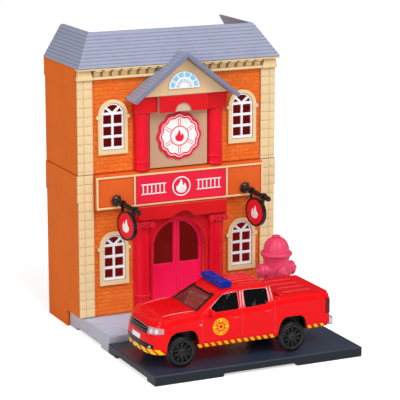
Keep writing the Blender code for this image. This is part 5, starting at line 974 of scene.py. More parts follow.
def lower_body():
    """Closed surface: a vertical profile at each column of the plan, drawn in to a spine at both ends."""
    half = plan_curve()
    loop = np.vstack([half, (half * (1, -1))[-2:0:-1]])
    chord = np.roll(loop, -1, axis=0) - np.roll(loop, 1, axis=0)
    out = xyz(-chord[:, 1], chord[:, 0], 0) / np.linalg.norm(chord, axis=1)[:, None]
    x, y = loop.T
    low, high = body_low(x), body_shoulder(x)
    order = np.arange(len(half), dtype=float)
    fold = np.interp(order, (0, 25, len(half) - 16, len(half) - 1), SPINE)
    inner = order[25:-15]
    fold[25:-15] = np.clip(half[25:-15, 0], SPINE[1] + 0.01 * inner, SPINE[2] - 1e-3 * inner[::-1])
    spine = np.concatenate([fold, fold[-2:0:-1]])
    rows = []
    for share in (0, 0.5, 0.9):
        place = spine + (x - spine) * share
        rows.append(xyz(place, y * share, body_low(place) + 0.9))
    for share in np.linspace(0, 1, 34):
        z = low + 0.2 + (high - low - 0.2) * share
        seam = sum(np.exp(-((x - place) / 0.12) ** 2) for place in SEAMS)
        seam = SEAM_DEPTH * seam * ((z > 12.4) & (np.abs(x - 36) < 28))
        rows.append(xyz(x, y, z) - out * (body_lean(x, z) + seam)[:, None])
    edge = rows[-1]
    for turn in np.radians((30, 60, 90)):
        rows.append(edge - out * 1.1 * (1 - math.cos(turn)) + (0, 0, 0.88 * math.sin(turn)))
    edge = rows[-1]
    for share in np.linspace(1, 0, 20)[1:]:
        place = spine + (edge[:, 0] - spine) * share
        bent = 0.45 * math.exp(-((share - 0.74) / 0.06) ** 2)
        crease = bent * np.interp(place, (-14, -4, 6, 9), (0, 1, 1, 0))
        crown = np.interp(place, (NOSE_X, 0, 9, 60, 66, TAIL_X), (0.5, 1.2, 1.2, 0.2, 0, 0))
        z = edge[:, 2] + body_shoulder(place) - body_shoulder(edge[:, 0]) + crown * (1 - share ** 4) + crease
        rows.append(xyz(place, edge[:, 1] * share, z))
    return closed(np.stack(rows), capped=False)


# Each level of the cab: height, front, rear, half width and corner radius.
CAB_LEVELS = np.array([
    (28.0, 8.0, 66.0, 21.0, 4.0), (29.6, 9.6, 65.0, 20.6, 4.0), (30.6, 11.2, 64.4, 20.3, 4.2),
    (35.4, 18.8, 62.8, 18.7, 4.4), (39.6, 25.4, 61.2, 17.4, 4.4), (40.8, 27.2, 60.6, 16.9, 4.6),
    (41.6, 28.8, 59.8, 16.2, 4.8), (42.15, 30.6, 58.6, 14.9, 5.0), (42.5, 33.4, 56.4, 12.4, 5.2),
    (42.65, 37.4, 52.6, 8.0, 4.6)])


def cab_width(z):
    """Half width of the cab at a height."""
    return np.interp(z, CAB_LEVELS[:, 0], CAB_LEVELS[:, 3])


def cab(inset=0.0, floor=None):
    """Stack of rounded rings from the waist to the roof; the front edge bows forwards between the pillars."""
    rings = []
    for z, front, rear, half, radius in CAB_LEVELS:
        box = rounded_box(front + inset, rear - inset, -half + inset, half - inset, radius, 7)
        ring = np.vstack([part for i in (0, 8, 16, 24) for part in
                          (box[i:i + 8], np.linspace(box[i + 7], box[(i + 8) % 32], 9)[1:-1])])
        bow = SCREEN_BOW * (1 - (ring[:, 1] / half) ** 2) * np.clip((front + 12 - ring[:, 0]) / 12, 0, 1)
        fade = min(1, max(0, (42.7 - z) / 3))
        rings.append(xyz(ring[:, 0] - bow * fade, ring[:, 1], z - inset))
    if floor:
        rings[0][:, 2] = floor
    return closed(np.stack(rings))


def rounded_polygon(corners, radius):
    """Anticlockwise polygon whose corners are cut by short quadratic curves of about one radius."""
    corners = np.asarray(corners, float)
    ways = [np.roll(corners, step, axis=0) - corners for step in (1, -1)]
    cuts = [np.minimum(radius / np.linalg.norm(way, axis=1), 0.45)[:, None] for way in ways]
    before, after = (corners + way * cut for way, cut in zip(ways, cuts))
    share = np.linspace(0, 1, 6)[:, None]
    return ((1 - share) ** 2 * before[:, None] + 2 * share * (1 - share) * corners[:, None]
            + share ** 2 * after[:, None]).reshape(-1, 2)


FRONT_CORNERS = ((20.0, 31.6), (22.6, 30.2), (37.6, 30.5), (37.5, 40.2), (27.6, 39.4), (19.4, 33.0))
REAR_CORNERS = ((41.6, 30.6), (56.4, 31.4), (57.2, 33.2), (56.8, 40.2), (41.5, 40.6))
FRONT_ARCH = ((-9.8, 6), (11.0, 6), (11.0, 14.5), (9.6, 19.0), (7.2, 21.8), (-3.6, 21.8), (-7.4, 19.8),
              (-9.6, 14.5))
REAR_ARCH = ((62.4, 6), (82.0, 6), (82.0, 14.5), (80.8, 19.6), (78.2, 22.2), (67.2, 22.2), (64.4, 19.8),
             (62.6, 14.5))
FRONT_WINDOW, REAR_WINDOW = rounded_polygon(FRONT_CORNERS, 1.2), rounded_polygon(REAR_CORNERS, 1.5)
ARCHES = [rounded_polygon(corners, 1.6) for corners in (FRONT_ARCH, REAR_ARCH)]
TUB_BOX, REAR_BOX = (13.2, 57.8, -18.1, 18.1), (-14.5, 14.5, 33.2, 39.4)
CABIN_FLOOR, WAIST, WALL_THICK, ARCH_INNER = 11.8, 29.0, 1.3, 14.6
SCREEN_LOW, SCREEN_TOP = np.array([10.6, 0, 30.7]), np.array([25.3, 0, 39.6])
SCREEN_HEIGHT = np.linalg.norm(SCREEN_TOP - SCREEN_LOW)
SCREEN_FOOT_HALF, SCREEN_HEAD_HALF = 17.2, 14.3
SCREEN_UP = (SCREEN_TOP - SCREEN_LOW) / SCREEN_HEIGHT
SCREEN_OUT = np.array([-SCREEN_UP[2], 0, SCREEN_UP[0]])


def screen_outline(margin):
    """Windscreen outline (across, up the slope): narrower at its top, with round corners."""
    low, high, top = (size - margin for size in (SCREEN_FOOT_HALF, SCREEN_HEAD_HALF, SCREEN_HEIGHT))
    return rounded_polygon([(-low, margin), (low, margin), (high, top), (-high, top)], 1.8 - margin * 0.4)


def on_screen(shape):
    """Plate drawn as (across, outward, up) laid on the windscreen, bowed as the cab is."""
    points, faces = shape
    across, out, up = points.T
    bow = SCREEN_BOW * (1 - (across / 18.0) ** 2)
    return SCREEN_LOW + up[:, None] * SCREEN_UP + out[:, None] * SCREEN_OUT + xyz(-bow, across, 0), faces


def carving(shape):
    """Object that only takes part in a Boolean, with one millimetre as one unit."""
    mesh = bpy.data.meshes.new("carving")
    mesh.from_pydata(shape[0].tolist(), [], shape[1])
    welded(mesh, mesh, 0.004, sliver=0.001)
    return linked("carving", mesh)


def carved(start, steps):
    """Shape after a run of (operation, shape) Booleans."""
    base = carving(start)
    for operation, shape in steps:
        tool = carving(shape)
        cut = base.modifiers.new("carve", "BOOLEAN")
        cut.operation, cut.solver, cut.object = operation, "MANIFOLD", tool
        bpy.context.view_layer.update()
        result = bpy.data.meshes.new_from_object(base.evaluated_get(bpy.context.evaluated_depsgraph_get()))
        base.modifiers.clear()
        base.data = result
        bpy.data.objects.remove(tool)
    points = np.array([vertex.co for vertex in base.data.vertices])
    faces = [list(face.vertices) for face in base.data.polygons]
    bpy.data.objects.remove(base)
    return points, faces


def through(outline, low=-30, high=30):
    """Prism along Y."""
    return plate(outline, [(0, high), (0, low)])


tub = plate(rounded_box(*TUB_BOX, 2.0), [(0, CABIN_FLOOR), (0, WAIST + 2)], "z")
screen_hole = on_screen(plate(screen_outline(0.9), [(0, -6.0), (0, 4.0)]))
points, faces = plate(rounded_box(*REAR_BOX, 1.6), [(0, 54.0), (0, 70.0)])
rear_hole = (points[:, [1, 0, 2]], faces)
openings = [cab(WALL_THICK, WAIST), tub, through(FRONT_WINDOW), through(REAR_WINDOW), screen_hole, rear_hole]
openings += [through(arch, *reach) for arch in ARCHES for reach in ((ARCH_INNER, 30), (-30, -ARCH_INNER))]
shell = carved(lower_body(), [("UNION", cab())] + [("DIFFERENCE", shape) for shape in openings])
enamel = moulding("truck_enamel", (238, 15, 23), gloss=0.25, cloud=0.03, grain=0.2, wear_and_highlight=0.8, crevice_shade=0.3,
                  relief=0.004, shine=0.06, coat=0.2)
piece("truck_shell", [shell], enamel, "truck_body", body="truck", angle=24)


# Truck windows: a lightly tinted windscreen with a black printed border, and near-black side and rear panes
# set just inside the enamel. All are one clear moulding on the real toy.
def pane_marks(tree):
    """Upright paler streaks, as reflections of the studio in a dark pane."""
    return spread(tree, noise(tree, 420, 3, 0.6, (1, 1, 0.16), 0.25), 0.6, 5.0), (128, 122, 126)


def clear_plastic(name, screen, passing):
    """Clear tinted plastic with faint moulding waves in its surface."""
    made = moulding(name, screen, gloss=0.03, cloud=0.15, grain=0.3, wear_and_highlight=0, crevice_shade=0, relief=0.004, shine=0.5,
                    crisp=True)
    tree, shader = made.node_tree, made.node_tree.nodes["Principled BSDF"].inputs
    rough = shader["Roughness"].links[0].from_socket
    feed(tree, shader["Roughness"], maths(tree, "MAXIMUM", rough, 0.03))
    shader["Transmission Weight"].default_value = passing
    shader["IOR"].default_value = 1.46
    return made


dark_glass = moulding("truck_dark_glass", (12, 11, 13), gloss=0.08, cloud=0.2, grain=0.05, wear_and_highlight=0, crevice_shade=0,
                      relief=0.004, shine=0.05, coat=0.3, marks=pane_marks)
panes = []
for side in (-1, 1):
    for window in (FRONT_WINDOW, rounded_polygon(REAR_CORNERS, 1.2)):
        points, faces = plate(offset_outline(window, -0.5), [(0, 0.7), (0, 0.12), (0.12, 0)])
        x, depth, z = points.T
        panes.append((xyz(x, side * (cab_width(z) - 0.45 - depth), z), faces))
points, faces = plate(rounded_box(-15.0, 15.0, 32.8, 39.9, 1.8), [(0, 0.7), (0, 0)])
y, depth, z = points.T
rear_wall = CAB_LEVELS[2, 2] - (z - CAB_LEVELS[2, 0]) / 9.0 * (CAB_LEVELS[2, 2] - CAB_LEVELS[4, 2])
panes.append((xyz(rear_wall - 0.5 - depth, y, z), faces))
piece("truck_side_panes", panes, dark_glass, "truck_glazing", body="truck")
windscreen = on_screen(plate(screen_outline(0.25), [(0, -0.75), (0, -0.35)]))
screen_glass = clear_plastic("truck_screen_glass", (250, 150, 156), 0.92)
piece("truck_windscreen", [windscreen], screen_glass, body="truck")
rubber = moulding("truck_rubber", (24, 17, 18), gloss=0.35, cloud=0.1, wear_and_highlight=0.2, shine=0.25)
border = on_screen(band(screen_outline(0.0), screen_outline(1.8), -0.5, 0.08))
piece("truck_screen_border", [border], rubber, body="truck")

# Wheel houses: black liners that close the arches' inside, each a bent strip and an inner wall.
# They stand for the dark inside of the die-cast arches, and the wheels turn clear of them.
LINER, HOUSE_OUTSIDE, HOUSE_WALL = 0.45, 20.9, ARCH_INNER + 0.05
liners = []
for arch in ARCHES:
    bend = np.roll(arch, -9, axis=0)[:-12]
    bend = bend[bend[:, 1] > 10.0]
    hoop = np.vstack([offset_outline(bend, 0.02)[1:-1], offset_outline(bend, LINER)[1:-1][::-1]])
    for side in (-1, 1):
        liners.append(plate(hoop, [(0, side * HOUSE_OUTSIDE), (0, side * (HOUSE_WALL + 0.05))]))
        liners.append(plate(bend, [(0.02, side * (HOUSE_WALL + 0.35)), (0.02, side * HOUSE_WALL)]))
piece("truck_wheel_houses", liners, rubber, body="truck")

# Cabin and chassis: a brownish plastic tub with its seats and dash, seen through the tinted screen, and a
# black base plate with the axle blocks that hold two steel axles.
smoothed(moulding("cabin_black", (140, 100, 92), gloss=0.55, cloud=0.15), "truck_interior")
smoothed(moulding("chassis_black", (26, 25, 28), gloss=0.4, cloud=0.1, wear_and_highlight=0.4), "chassis")
steel = moulding("axle_steel", (170, 172, 176), gloss=0.3, cloud=0.1, metal=1.0, wear_and_highlight=0.2)
smoothed(steel, "front_axle", "rear_axle")

# Grille: a black grille and intake in one moulding, with thin chrome bars and lamp rings printed on it.
# The parts on the nose are strips of (height, lift) points carried along the plan curve from its middle.
GRILLE_HALF, GRILLE_Z = 13.0, (20.4, 25.0)
INTAKE_HALF, INTAKE_Z = 19.0, (11.9, 15.3)
BAR_HEIGHTS, FOG_LAMP = (21.7, 23.2), 16.4
half_plan = plan_curve()
curve = np.vstack([(half_plan * (1, -1))[:0:-1], half_plan])
curve_length = np.concatenate([[0], np.cumsum(np.linalg.norm(np.diff(curve, axis=0), axis=1))])
curve_length -= curve_length[len(curve) // 2]
half_length = curve_length[len(curve) // 2:]


def wrapped(along, heights, lifts, slant=0.0):
    """Closed strip on the body: rings of (height, lift) points at places along the plan curve."""
    along = np.asarray(along, float)
    heights = np.broadcast_to(heights, (len(along), np.shape(heights)[-1]))
    place = along[:, None] + slant * (heights - heights.min())
    (x, y), near, far = ([np.interp(place + step, curve_length, curve[:, k]) for k in (0, 1)]
                         for step in (0, -0.4, 0.4))
    across, ahead = far[0] - near[0], far[1] - near[1]
    out = (lifts - body_lean(x, heights)) / np.hypot(across, ahead)
    return closed(xyz(x - ahead * out, y + across * out, heights))


def strip(along, low, high, back, front, edge=0.2):
    """Wrapped strip with softened front edges; low and high are numbers or one value for each place."""
    low, high = (np.broadcast_to(value, len(along)).astype(float)[:, None] for value in (low, high))
    heights = np.hstack([low, low, low + edge + (high - low - 2 * edge) * np.linspace(0, 1, 8), high, high])
    return wrapped(along, heights, np.array([back, front - edge] + [front] * 8 + [front - edge, back]))


chrome = moulding("truck_chrome", (226, 228, 232), gloss=0.14, cloud=0.05, metal=1.0, wear_and_highlight=0.1, crevice_shade=0.5,
                  shine=0.5)
across = np.linspace(-GRILLE_HALF, GRILLE_HALF, 27)
grille_high = GRILLE_Z[1] - 0.7 * (np.abs(across) / GRILLE_HALF) ** 2
wide = np.linspace(-INTAKE_HALF, INTAKE_HALF, 41)
intake_low = INTAKE_Z[0] + 0.5 * (np.abs(wide) / INTAKE_HALF) ** 3
intake_high = INTAKE_Z[1] - 1.0 * np.clip((np.abs(wide) - 14) / 6, 0, 1)
piece("truck_grille", [strip(across, GRILLE_Z[0], grille_high, -1.4, 0.12),
                       strip(wide, intake_low, intake_high, -1.4, 0.2)],
      moulding("grille_black", (8, 8, 9), gloss=0.2, cloud=0.1), "front_grille", body="truck")
bars = [strip(across, z, z + 0.24, -0.3, 0.42, 0.08) for z in BAR_HEIGHTS]
bars.append(strip(across, grille_high - 0.3, grille_high, -0.3, 0.42, 0.1))
bars += [strip(np.linspace(-0.9, 0.9, 7) + side * FOG_LAMP, 12.6, 14.2, -0.3, 0.55, 0.3) for side in (-1, 1)]
piece("truck_grille_bars", bars, chrome, body="truck")

# Lamps and rear bumper: clear headlights over bright bowls, dark red tail lamps and a chromed bumper.
# Each pair of lamps wraps round the body's corners and is joined by a bar inside it.
LENS_REACH, LENS_Z = (13.4, 25.6), (20.4, 24.9)
BOWLS, BOWL_Z, BOWL_RISE = ((16.6, 1.6), (20.6, 1.5)), 22.7, 1.5
TAIL_AHEAD, TAIL_LENGTH, TAIL_Z = 3.4, 6.4, (21.0, 30.6)
lens = clear_plastic("truck_lens", (242, 204, 212), 0.5)
lens_s = np.linspace(*LENS_REACH, 15)
share = np.linspace(0, 1, 15)
lens_low, lens_high = LENS_Z[0] + 0.9 * share ** 2, LENS_Z[1] - 0.4 * share ** 3
tail_start = np.interp(TAIL_X - TAIL_AHEAD, half_plan[:, 0], half_length)
tail_s = np.linspace(tail_start, tail_start + TAIL_LENGTH, 15)
lenses, bowls, tails = [], [], []
for side in (-1, 1):
    lenses.append(strip(side * lens_s[::side], lens_low[::side], lens_high[::side], -1.2, 0.35, 0.45))
    for centre, reach in BOWLS:
        turn = np.linspace(-1, 1, 9)
        bulge = np.sqrt(np.clip(1 - turn ** 2, 0.03, 1)) * BOWL_RISE
        bowls.append(strip(side * centre + turn * reach, BOWL_Z - bulge, BOWL_Z + bulge, -0.9, 0.42, 0.25))
    tails.append(strip(side * tail_s[::side], *TAIL_Z, -1.0, 0.25, 0.3))
piece("truck_headlights", lenses, lens, "headlights", body="truck")
bowl = clear_plastic("truck_bowl", (250, 250, 252), 0.3)
piece("truck_lamp_bowls", bowls, bowl, body="truck")
tail_red = moulding("tail_lamp_red", (98, 6, 14), gloss=0.15, cloud=0.1, wear_and_highlight=0.2, coat=0.3)
piece("truck_tail_lamps", tails, tail_red, "tail_lights", body="truck")
smoothed(chrome, "rear_bumper")

# Warning stripes: slanted yellow bars printed along the sills, behind the rear arches and round the chin.
# Runs are (start, end, low, high, count) along the side; the chin's bars are (start, width) from the middle.
STRIPE_SLANT, STRIPE_WIDTH, CHIN_SLANT = 0.75, 2.3, 1.1
STRIPE_RUNS = ((11.4, 62.8, 10.1, 12.6, 12), (83.6, 96.8, 12.9, 15.2, 3))
CHIN_BARS, CHIN_Z = ((1.6, 4.6), (9.8, 4.6), (16.8, 4.2), (22.8, 3.6)), (8.8, 12.0)
yellow = moulding("stripe_yellow", (255, 214, 20), gloss=0.32, cloud=0.05, wear_and_highlight=0.1, crevice_shade=0.1, shine=0.15)


def stripe(side, place, width, low, high, slant, lift=0.12):
    """One slanted bar on the body, from its place along the plan curve."""
    start = side * place - (0 if side > 0 else width)
    heights = np.linspace(low, high, 4)
    return wrapped(np.linspace(start, start + width, 5), np.concatenate([heights, heights[::-1]]),
                   np.array([-0.5] * 4 + [lift] * 4), -side * slant)


stripes = []
for side in (-1, 1):
    for start, end, low, high, count in STRIPE_RUNS:
        for x in start + np.arange(count) * (end - start) / count:
            place = np.interp(x, half_plan[:, 0], half_length)
            stripes.append(stripe(side, place, STRIPE_WIDTH, low, high, STRIPE_SLANT))
    stripes += [stripe(side, place, width, *CHIN_Z, CHIN_SLANT, 0.1) for place, width in CHIN_BARS]
piece("truck_stripes", stripes, yellow, body="truck")

# Door roundel: yellow rings with plain ticks between them, printed on both front doors.
# Rings are (outer, inner) shares of the radius, and ticks are (angle, inner, outer, half width).
ROUNDEL_X, ROUNDEL_Z, ROUNDEL_RADIUS = 24.9, 21.6, 5.1
ROUNDEL_RINGS = ((1.0, 0.93), (0.68, 0.62), (0.34, 0.24))
marks = [band(circle(ROUNDEL_RADIUS * outer, 64), circle(ROUNDEL_RADIUS * inner, 64), 0.3, -0.1)
         for outer, inner in ROUNDEL_RINGS]
ticks = [(15 * index, *((0.72, 0.88) if index % 2 else (0.66, 0.92)), 0.24 if index % 6 else 0.55)
         for index in range(24)] + [(45 * index, 0.42, 0.6, 0.25) for index in range(8)]
for angle, inner, outer, half in ticks:
    tick = spoke((0, 0), angle, inner * ROUNDEL_RADIUS, outer * ROUNDEL_RADIUS, half)
    marks.append(plate(tick, [(0, 0.3), (0, -0.1)]))
roundels = []
for side in (-1, 1):
    for points, faces in marks:
        x, depth, z = (points + (ROUNDEL_X, 0, ROUNDEL_Z)).T
        roundels.append((xyz(x, side * (BODY_HALF - body_lean(x, z) - depth), z), faces))
piece("truck_roundels", roundels, yellow, body="truck")

# Number plate: a bare white plate with a plain blue end, stuck to the bumper above the intake.
# Both are strips on the nose, and the blue end stands a hair in front of the white.
PLATE_LOW, PLATE_HIGH, PLATE_HALF, END_EDGE = 15.7, 18.5, 5.9, 0.1
plate_white = moulding("plate_white", (240, 242, 246), gloss=0.35, cloud=0.05, wear_and_highlight=0.1)
bare_plate = strip(np.linspace(-PLATE_HALF, PLATE_HALF, 13), PLATE_LOW, PLATE_HIGH, -0.6, 0.45)
piece("truck_number_plate", [bare_plate], plate_white, body="truck")
plate_blue = moulding("plate_blue", (36, 70, 170), gloss=0.35, cloud=0.05, wear_and_highlight=0.1)
blue_end = strip(np.linspace(PLATE_HALF - 1.3, PLATE_HALF - END_EDGE, 4), PLATE_LOW + END_EDGE,
                 PLATE_HIGH - END_EDGE, -0.6, 0.5, END_EDGE)
piece("truck_plate_end", [blue_end], plate_blue, body="truck")

# Body fittings: door mirrors on short arms, door handles, pressed ribs on the roof and the pillars, and side
# markers. The handles and ribs are painted in paler enamel than the shell's, the pillar ribs palest: painted
# highlights.
MIRROR, MIRROR_ARM = (19.0, 23.4, 31.0), (18.6, 21.4, 29.9)
HANDLES, MARKER = ((35.0, 26.0), (56.0, 27.4)), (12.0, 24.2)
ROOF_RIB_MIDDLE, ROOF_RIB_HALF, ROOF_RIB_PITCH = 47.5, 9.5, 5.0
PILLAR_RIBS = ((38.9, 30.4, 40.9), (40.5, 30.6, 41.0), (58.4, 31.8, 41.2), (60.2, 32.4, 41.0))


def bead(centre, half, steps=14, power=2.6):
    """Superellipsoid: a soft box with the given half sizes."""
    def wave(value):
        return np.sign(value) * np.abs(value) ** (2 / power)

    tall = np.radians(np.linspace(-90, 90, steps))[:, None]
    turn = np.radians(np.linspace(0, 360, 2 * steps, endpoint=False))
    return closed(xyz(wave(np.cos(tall)) * wave(np.cos(turn)), wave(np.cos(tall)) * wave(np.sin(turn)),
                      wave(np.sin(tall))) * half + centre, capped=False)


mirrors, handles, pillars, markers = [], [], [], []
for side in (-1, 1):
    mirrors.append(bead(np.multiply(MIRROR, (1, side, 1)), (1.3, 1.9, 1.7)))
    mirrors.append(bead(np.multiply(MIRROR_ARM, (1, side, 1)), (1.0, 1.8, 0.7)))
    handles += [bead((x, side * (BODY_HALF - 0.25), z), (2.1, 0.6, 0.42)) for x, z in HANDLES]
    markers.append(bead((MARKER[0], side * (BODY_HALF + 0.05), MARKER[1]), (0.9, 0.4, 0.5)))
    for x, low, high in PILLAR_RIBS:
        z = np.linspace(low, high, 12)
        thick = 0.1 + 0.38 * np.sin(np.linspace(0, np.pi, 12)) ** 0.4
        lean = (z - 31) * (0.06 if x < 50 else -0.14)
        pillars.append(tube(xyz(x + lean, side * (cab_width(z) - 0.15), z), thick, (1, 0, 0), 10))
roof_ribs = []
for y in (np.arange(5) - 2) * ROOF_RIB_PITCH:
    half = (ROOF_RIB_HALF - abs(y) * 0.12, 0.75, 0.75)
    roof_ribs.append(bead((ROOF_RIB_MIDDLE, y, 42.5 - 0.005 * y * y), half, 16, 3.0))
rib_highlight_enamel = moulding("truck_rib_highlight_enamel", (240, 62, 70), gloss=0.2, cloud=0.03, grain=0.2, wear_and_highlight=0.8,
                      relief=0.004, coat=0.3)
highlight_enamel = moulding("truck_highlight_enamel", (255, 176, 182), gloss=0.14, cloud=0.03, grain=0.2, wear_and_highlight=0.9,
                         relief=0.004, shine=0.5, coat=0.4)
for name, parts, paint in (("fittings", mirrors, enamel), ("roof_ribs", roof_ribs, rib_highlight_enamel),
                           ("door_handles", handles, rib_highlight_enamel), ("pillar_ribs", pillars, highlight_enamel)):
    piece("truck_" + name, parts, paint, body="truck")

# Crease highlights: thin tubes of pale enamel, painted highlights along the hood's two creases and round the
# side windows.
# The hood's lines follow the shell straight below them.
HOOD_CREASE_X, HOOD_CREASE_Y = (-9.0, 9.5), (14.6, 16.6)
shell_tree = BVHTree.FromPolygons(shell[0].tolist(), shell[1])
crease_highlights = []
for side in (-1, 1):
    x = np.linspace(*HOOD_CREASE_X, 24)
    y = side * np.interp(x, HOOD_CREASE_X, HOOD_CREASE_Y)
    drops = [shell_tree.ray_cast(Vector((*place, 60)), Vector((0, 0, -1)))[0] for place in zip(x, y)]
    line = np.array([tuple(drop) for drop in drops])
    thick = 0.04 + 0.16 * np.sin(np.linspace(0.15, np.pi - 0.15, 24)) ** 0.5
    crease_highlights.append(tube(line, thick, (0, 1, 0), 8))
    for window in (FRONT_WINDOW, REAR_WINDOW):
        loop = offset_outline(window, -0.12)
        x, z = np.vstack([loop, loop[:1]]).T
        crease_highlights.append(tube(xyz(x, side * (cab_width(z) + 0.02), z), 0.11, (0, 1, 0), 6))
piece("truck_crease_highlights", crease_highlights, highlight_enamel, body="truck")
piece("truck_side_markers", markers, lens, body="truck")

# Bed cover: a red hard cover on the bed rails, with a raised rim line and four lengthwise ribs.
# It is one plastic moulding snapped into the die-cast bed.
COVER_LOW, COVER_HIGH = corners_of("bed_cover", TRUCK)
COVER_RIB_MIDDLE, COVER_RIB_HALF, COVER_RIB_PITCH = 79.5, (9.5, 0.8, 0.6), 8.2
cover_top = COVER_HIGH[2] - 0.3
cover_steps = [(0, COVER_LOW[2]), (0, cover_top - 0.45), (0.2, cover_top - 0.15), (0.7, cover_top),
               (1.6, cover_top)]
cover = plate(rounded_box(COVER_LOW[0], COVER_HIGH[0], COVER_LOW[1], COVER_HIGH[1], 2.0, 5), cover_steps, "z")
cover_enamel = moulding("bed_cover_enamel", (238, 12, 20), gloss=0.35, cloud=0.05, grain=0.2, wear_and_highlight=0.8,
                        relief=0.004, shine=0.05)
piece("truck_bed_cover", [cover], cover_enamel, "bed_cover", body="truck", angle=40)
# The cover's ribs are in the paler rib enamel: painted highlights.
cover_ribs = [bead((COVER_RIB_MIDDLE, y, cover_top - 0.05), COVER_RIB_HALF, 16, 3.0)
              for y in (np.arange(4) - 1.5) * COVER_RIB_PITCH]
piece("truck_cover_ribs", cover_ribs, rib_highlight_enamel, body="truck")

# Lightbar: a blue plastic bar of ribbed lamp blocks on a thin base across the roof.
# Five blocks stand side by side, each with three ribs on its crown.
BAR_BACK, BAR_FRONT, BAR_HALF = 28.6, 35.8, 14.6
LAMP_PITCH, LAMP_GAP = BAR_HALF * 2 / 5, 0.12
blue = moulding("lightbar_blue", (8, 34, 154), gloss=0.25, cloud=0.2, wear_and_highlight=0.4, shine=0.08, coat=0.1)
lamps = [plate(rounded_box(BAR_BACK + 0.6, BAR_FRONT - 0.6, -BAR_HALF + 0.6, BAR_HALF - 0.6, 0.8),
               [(0, 41.9), (0, 43.5)], "z")]
for low in -BAR_HALF + np.arange(5) * LAMP_PITCH:
    block = rounded_box(BAR_BACK, BAR_FRONT, low + LAMP_GAP, low + LAMP_PITCH - LAMP_GAP, 0.9)
    lamps.append(plate(block, [(0, 43.3), (0, 45.2), (0.25, 45.7), (0.8, 46.0)], "z"))
    lamps += [bead(((BAR_BACK + BAR_FRONT) / 2, low + LAMP_PITCH * rib / 4, 45.8), (3.0, 0.35, 0.38), 8)
              for rib in (1, 2, 3)]
piece("truck_lightbar", lamps, blue, "lightbar", body="truck")

# Wheels: black plastic rim and tyre in one, with ten double spokes and fine tread notches at the shoulders.
# Each is pressed on to the end of its steel axle.
WHEEL_STEPS, SPOKES, NOTCHES = 240, 10, 44
RIM_RADII = (6.2, 6.1, 5.9, 5.6, 5.1, 4.5, 3.9, 3.3, 2.8, 2.4, 2.2, 2.0, 1.7, 1.2, 1.1, 0.5, 0)


def wheel(inner, outer, centre):
    """Closed grid of (radius, side) rows turned about the axle; spokes and notches follow the angle."""
    angle = np.linspace(0, 2 * np.pi, WHEEL_STEPS, endpoint=False)
    width = abs(outer - inner)
    tyre = [(0, 0), (5.4, 0), (5.6, 0.3), (7.9, 0), (8.7, 0.25), (9.0, 0.7), (9.1, 1.4), (9.1, width - 1.4),
            (9.0, width - 0.7), (8.75, width - 0.3), (8.3, width - 0.08), (7.4, width), (7.0, width - 0.12),
            (6.8, width - 0.5), (6.6, width - 0.3), (6.35, width - 0.35)]
    notch = 0.2 * (np.cos(angle * NOTCHES) > 0.1)
    rows = [(radius - notch * (radius >= 8.7), depth) for radius, depth in tyre]
    for radius in RIM_RADII:
        share = (angle * SPOKES / (2 * np.pi)) % 1 - 0.5
        away = np.abs(np.abs(share) - 0.17) * 2 * np.pi / SPOKES * radius
        proud = np.clip(1.25 - away / 0.34, 0, 1) * (1.25 if radius < 5.7 else 0.7)
        floor = 2.4 if 2.1 < radius < 6.15 else 0.6
        spoke_depth = width - 0.45 - 0.35 * (1 - radius / 6.2) - (1 - np.clip(proud, 0, 1)) * (floor - 0.5)
        depth = np.where(proud > 0, spoke_depth, width - floor)
        if radius <= 2.1:
            depth = width - (0.75 if radius > 1.15 else 0.35)
        rows.append((radius, depth))
    way = math.copysign(1, outer - inner)
    return closed(np.stack([xyz(np.cos(angle) * radius, inner + way * depth, np.sin(angle) * radius)
                            for radius, depth in rows]) + centre, capped=False)


tyre_black = moulding("tyre_black", (8, 8, 10), gloss=0.3, cloud=0.1, wear_and_highlight=1.0, crevice_shade=0.3, coat=0.3)
for name in [f"{end}_{side_name}_wheel" for end in ("front", "rear") for side_name in SIDES]:
    low, high = corners_of(name, TRUCK)
    inner, outer = (low[1], high[1]) if low[1] > 0 else (high[1], low[1])
    piece(name + "_moulding", [wheel(inner, outer, (low + high) / 2 * (1, 0, 1))], tyre_black, name,
          body=name.split("_")[0] + "_wheels")

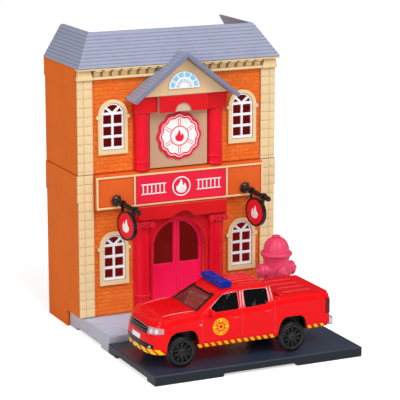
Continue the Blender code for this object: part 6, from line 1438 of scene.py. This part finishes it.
# Studio: a white floor and surround, one large soft lamp from the front above, a fill from the left
# and a small lamp for the crisp glints on the enamel.
FLOOR_HALF = 4.0
FLOOR_GLOW, SURROUND, MIRRORED = 0.6, 0.4, 0.15
studio_white = bpy.data.materials.new("studio_white")
studio_white.use_nodes = True
tree = studio_white.node_tree
glow = maths(tree, "MULTIPLY", node(tree, "LightPath").outputs["Is Camera Ray"], FLOOR_GLOW)
for label, value in {"Base Color": (0.86, 0.86, 0.86, 1), "Roughness": 0.9, "Emission Color": (1, 1, 1, 1),
                     "Emission Strength": glow}.items():
    feed(tree, tree.nodes["Principled BSDF"].inputs[label], value)
floor_mesh = bpy.data.meshes.new("studio_floor")
floor_corners = [(x * FLOOR_HALF, y * FLOOR_HALF, 0) for x, y in ((-1, -1), (1, -1), (1, 1), (-1, 1))]
floor_mesh.from_pydata(floor_corners, [], [(0, 1, 2, 3)])
floor_mesh.materials.append(studio_white)
linked("studio_floor", floor_mesh)

world = bpy.data.worlds.new("studio_surround")
bpy.context.scene.world = world
world.use_nodes = True
sky = world.node_tree
path = node(sky, "LightPath").outputs
seen = maths(sky, "MAXIMUM", path["Is Camera Ray"], path["Is Transmission Ray"])
lit = maths(sky, "ADD", SURROUND, maths(sky, "MULTIPLY", seen, 1 - SURROUND))
dimmed = maths(sky, "MULTIPLY", path["Is Glossy Ray"], SURROUND - MIRRORED)
background = sky.nodes["Background"].inputs
feed(sky, background["Color"], (1, 1, 1, 1))
feed(sky, background["Strength"], maths(sky, "SUBTRACT", lit, dimmed))

AIM = Vector((0.0, 0.0, 0.08))
for name, place, size, power in (("key_lamp", (0.4, -1.6, 1.8), 1.2, 29.5),
                                 ("fill_lamp", (-0.95, -0.35, 0.42), 0.4, 2.8),
                                 ("glint_lamp", (-0.25, -1.3, 0.75), 0.12, 2.4)):
    light = bpy.data.lights.new(name, "AREA")
    light.size, light.energy = size, power
    lamp = linked(name, light)
    lamp.location = place
    lamp.rotation_euler = (AIM - Vector(place)).to_track_quat("-Z", "Y").to_euler()

# Camera: the photograph's view, 25 degrees to the left of the front and 13 degrees above the floor.
# It stands a little over a metre away with a long lens, so that upright lines stay nearly parallel.
CAMERA_BACK = Vector((-0.412, -0.883, 0.223)).normalized()
CAMERA_AIM, CAMERA_FAR = Vector((14.1, 28.25, 79.1)), 1171.4
photo_camera = bpy.data.cameras.new("photo_camera")
photo_camera.sensor_width, photo_camera.lens, photo_camera.clip_end = 36, 165.6, 20
camera = linked("photo_camera", photo_camera)
camera.location = (CAMERA_AIM + CAMERA_BACK * CAMERA_FAR) * MM
camera.rotation_euler = CAMERA_BACK.to_track_quat("Z", "Y").to_euler()
bpy.context.scene.camera = camera
bpy.context.scene.view_settings.view_transform = "Standard"
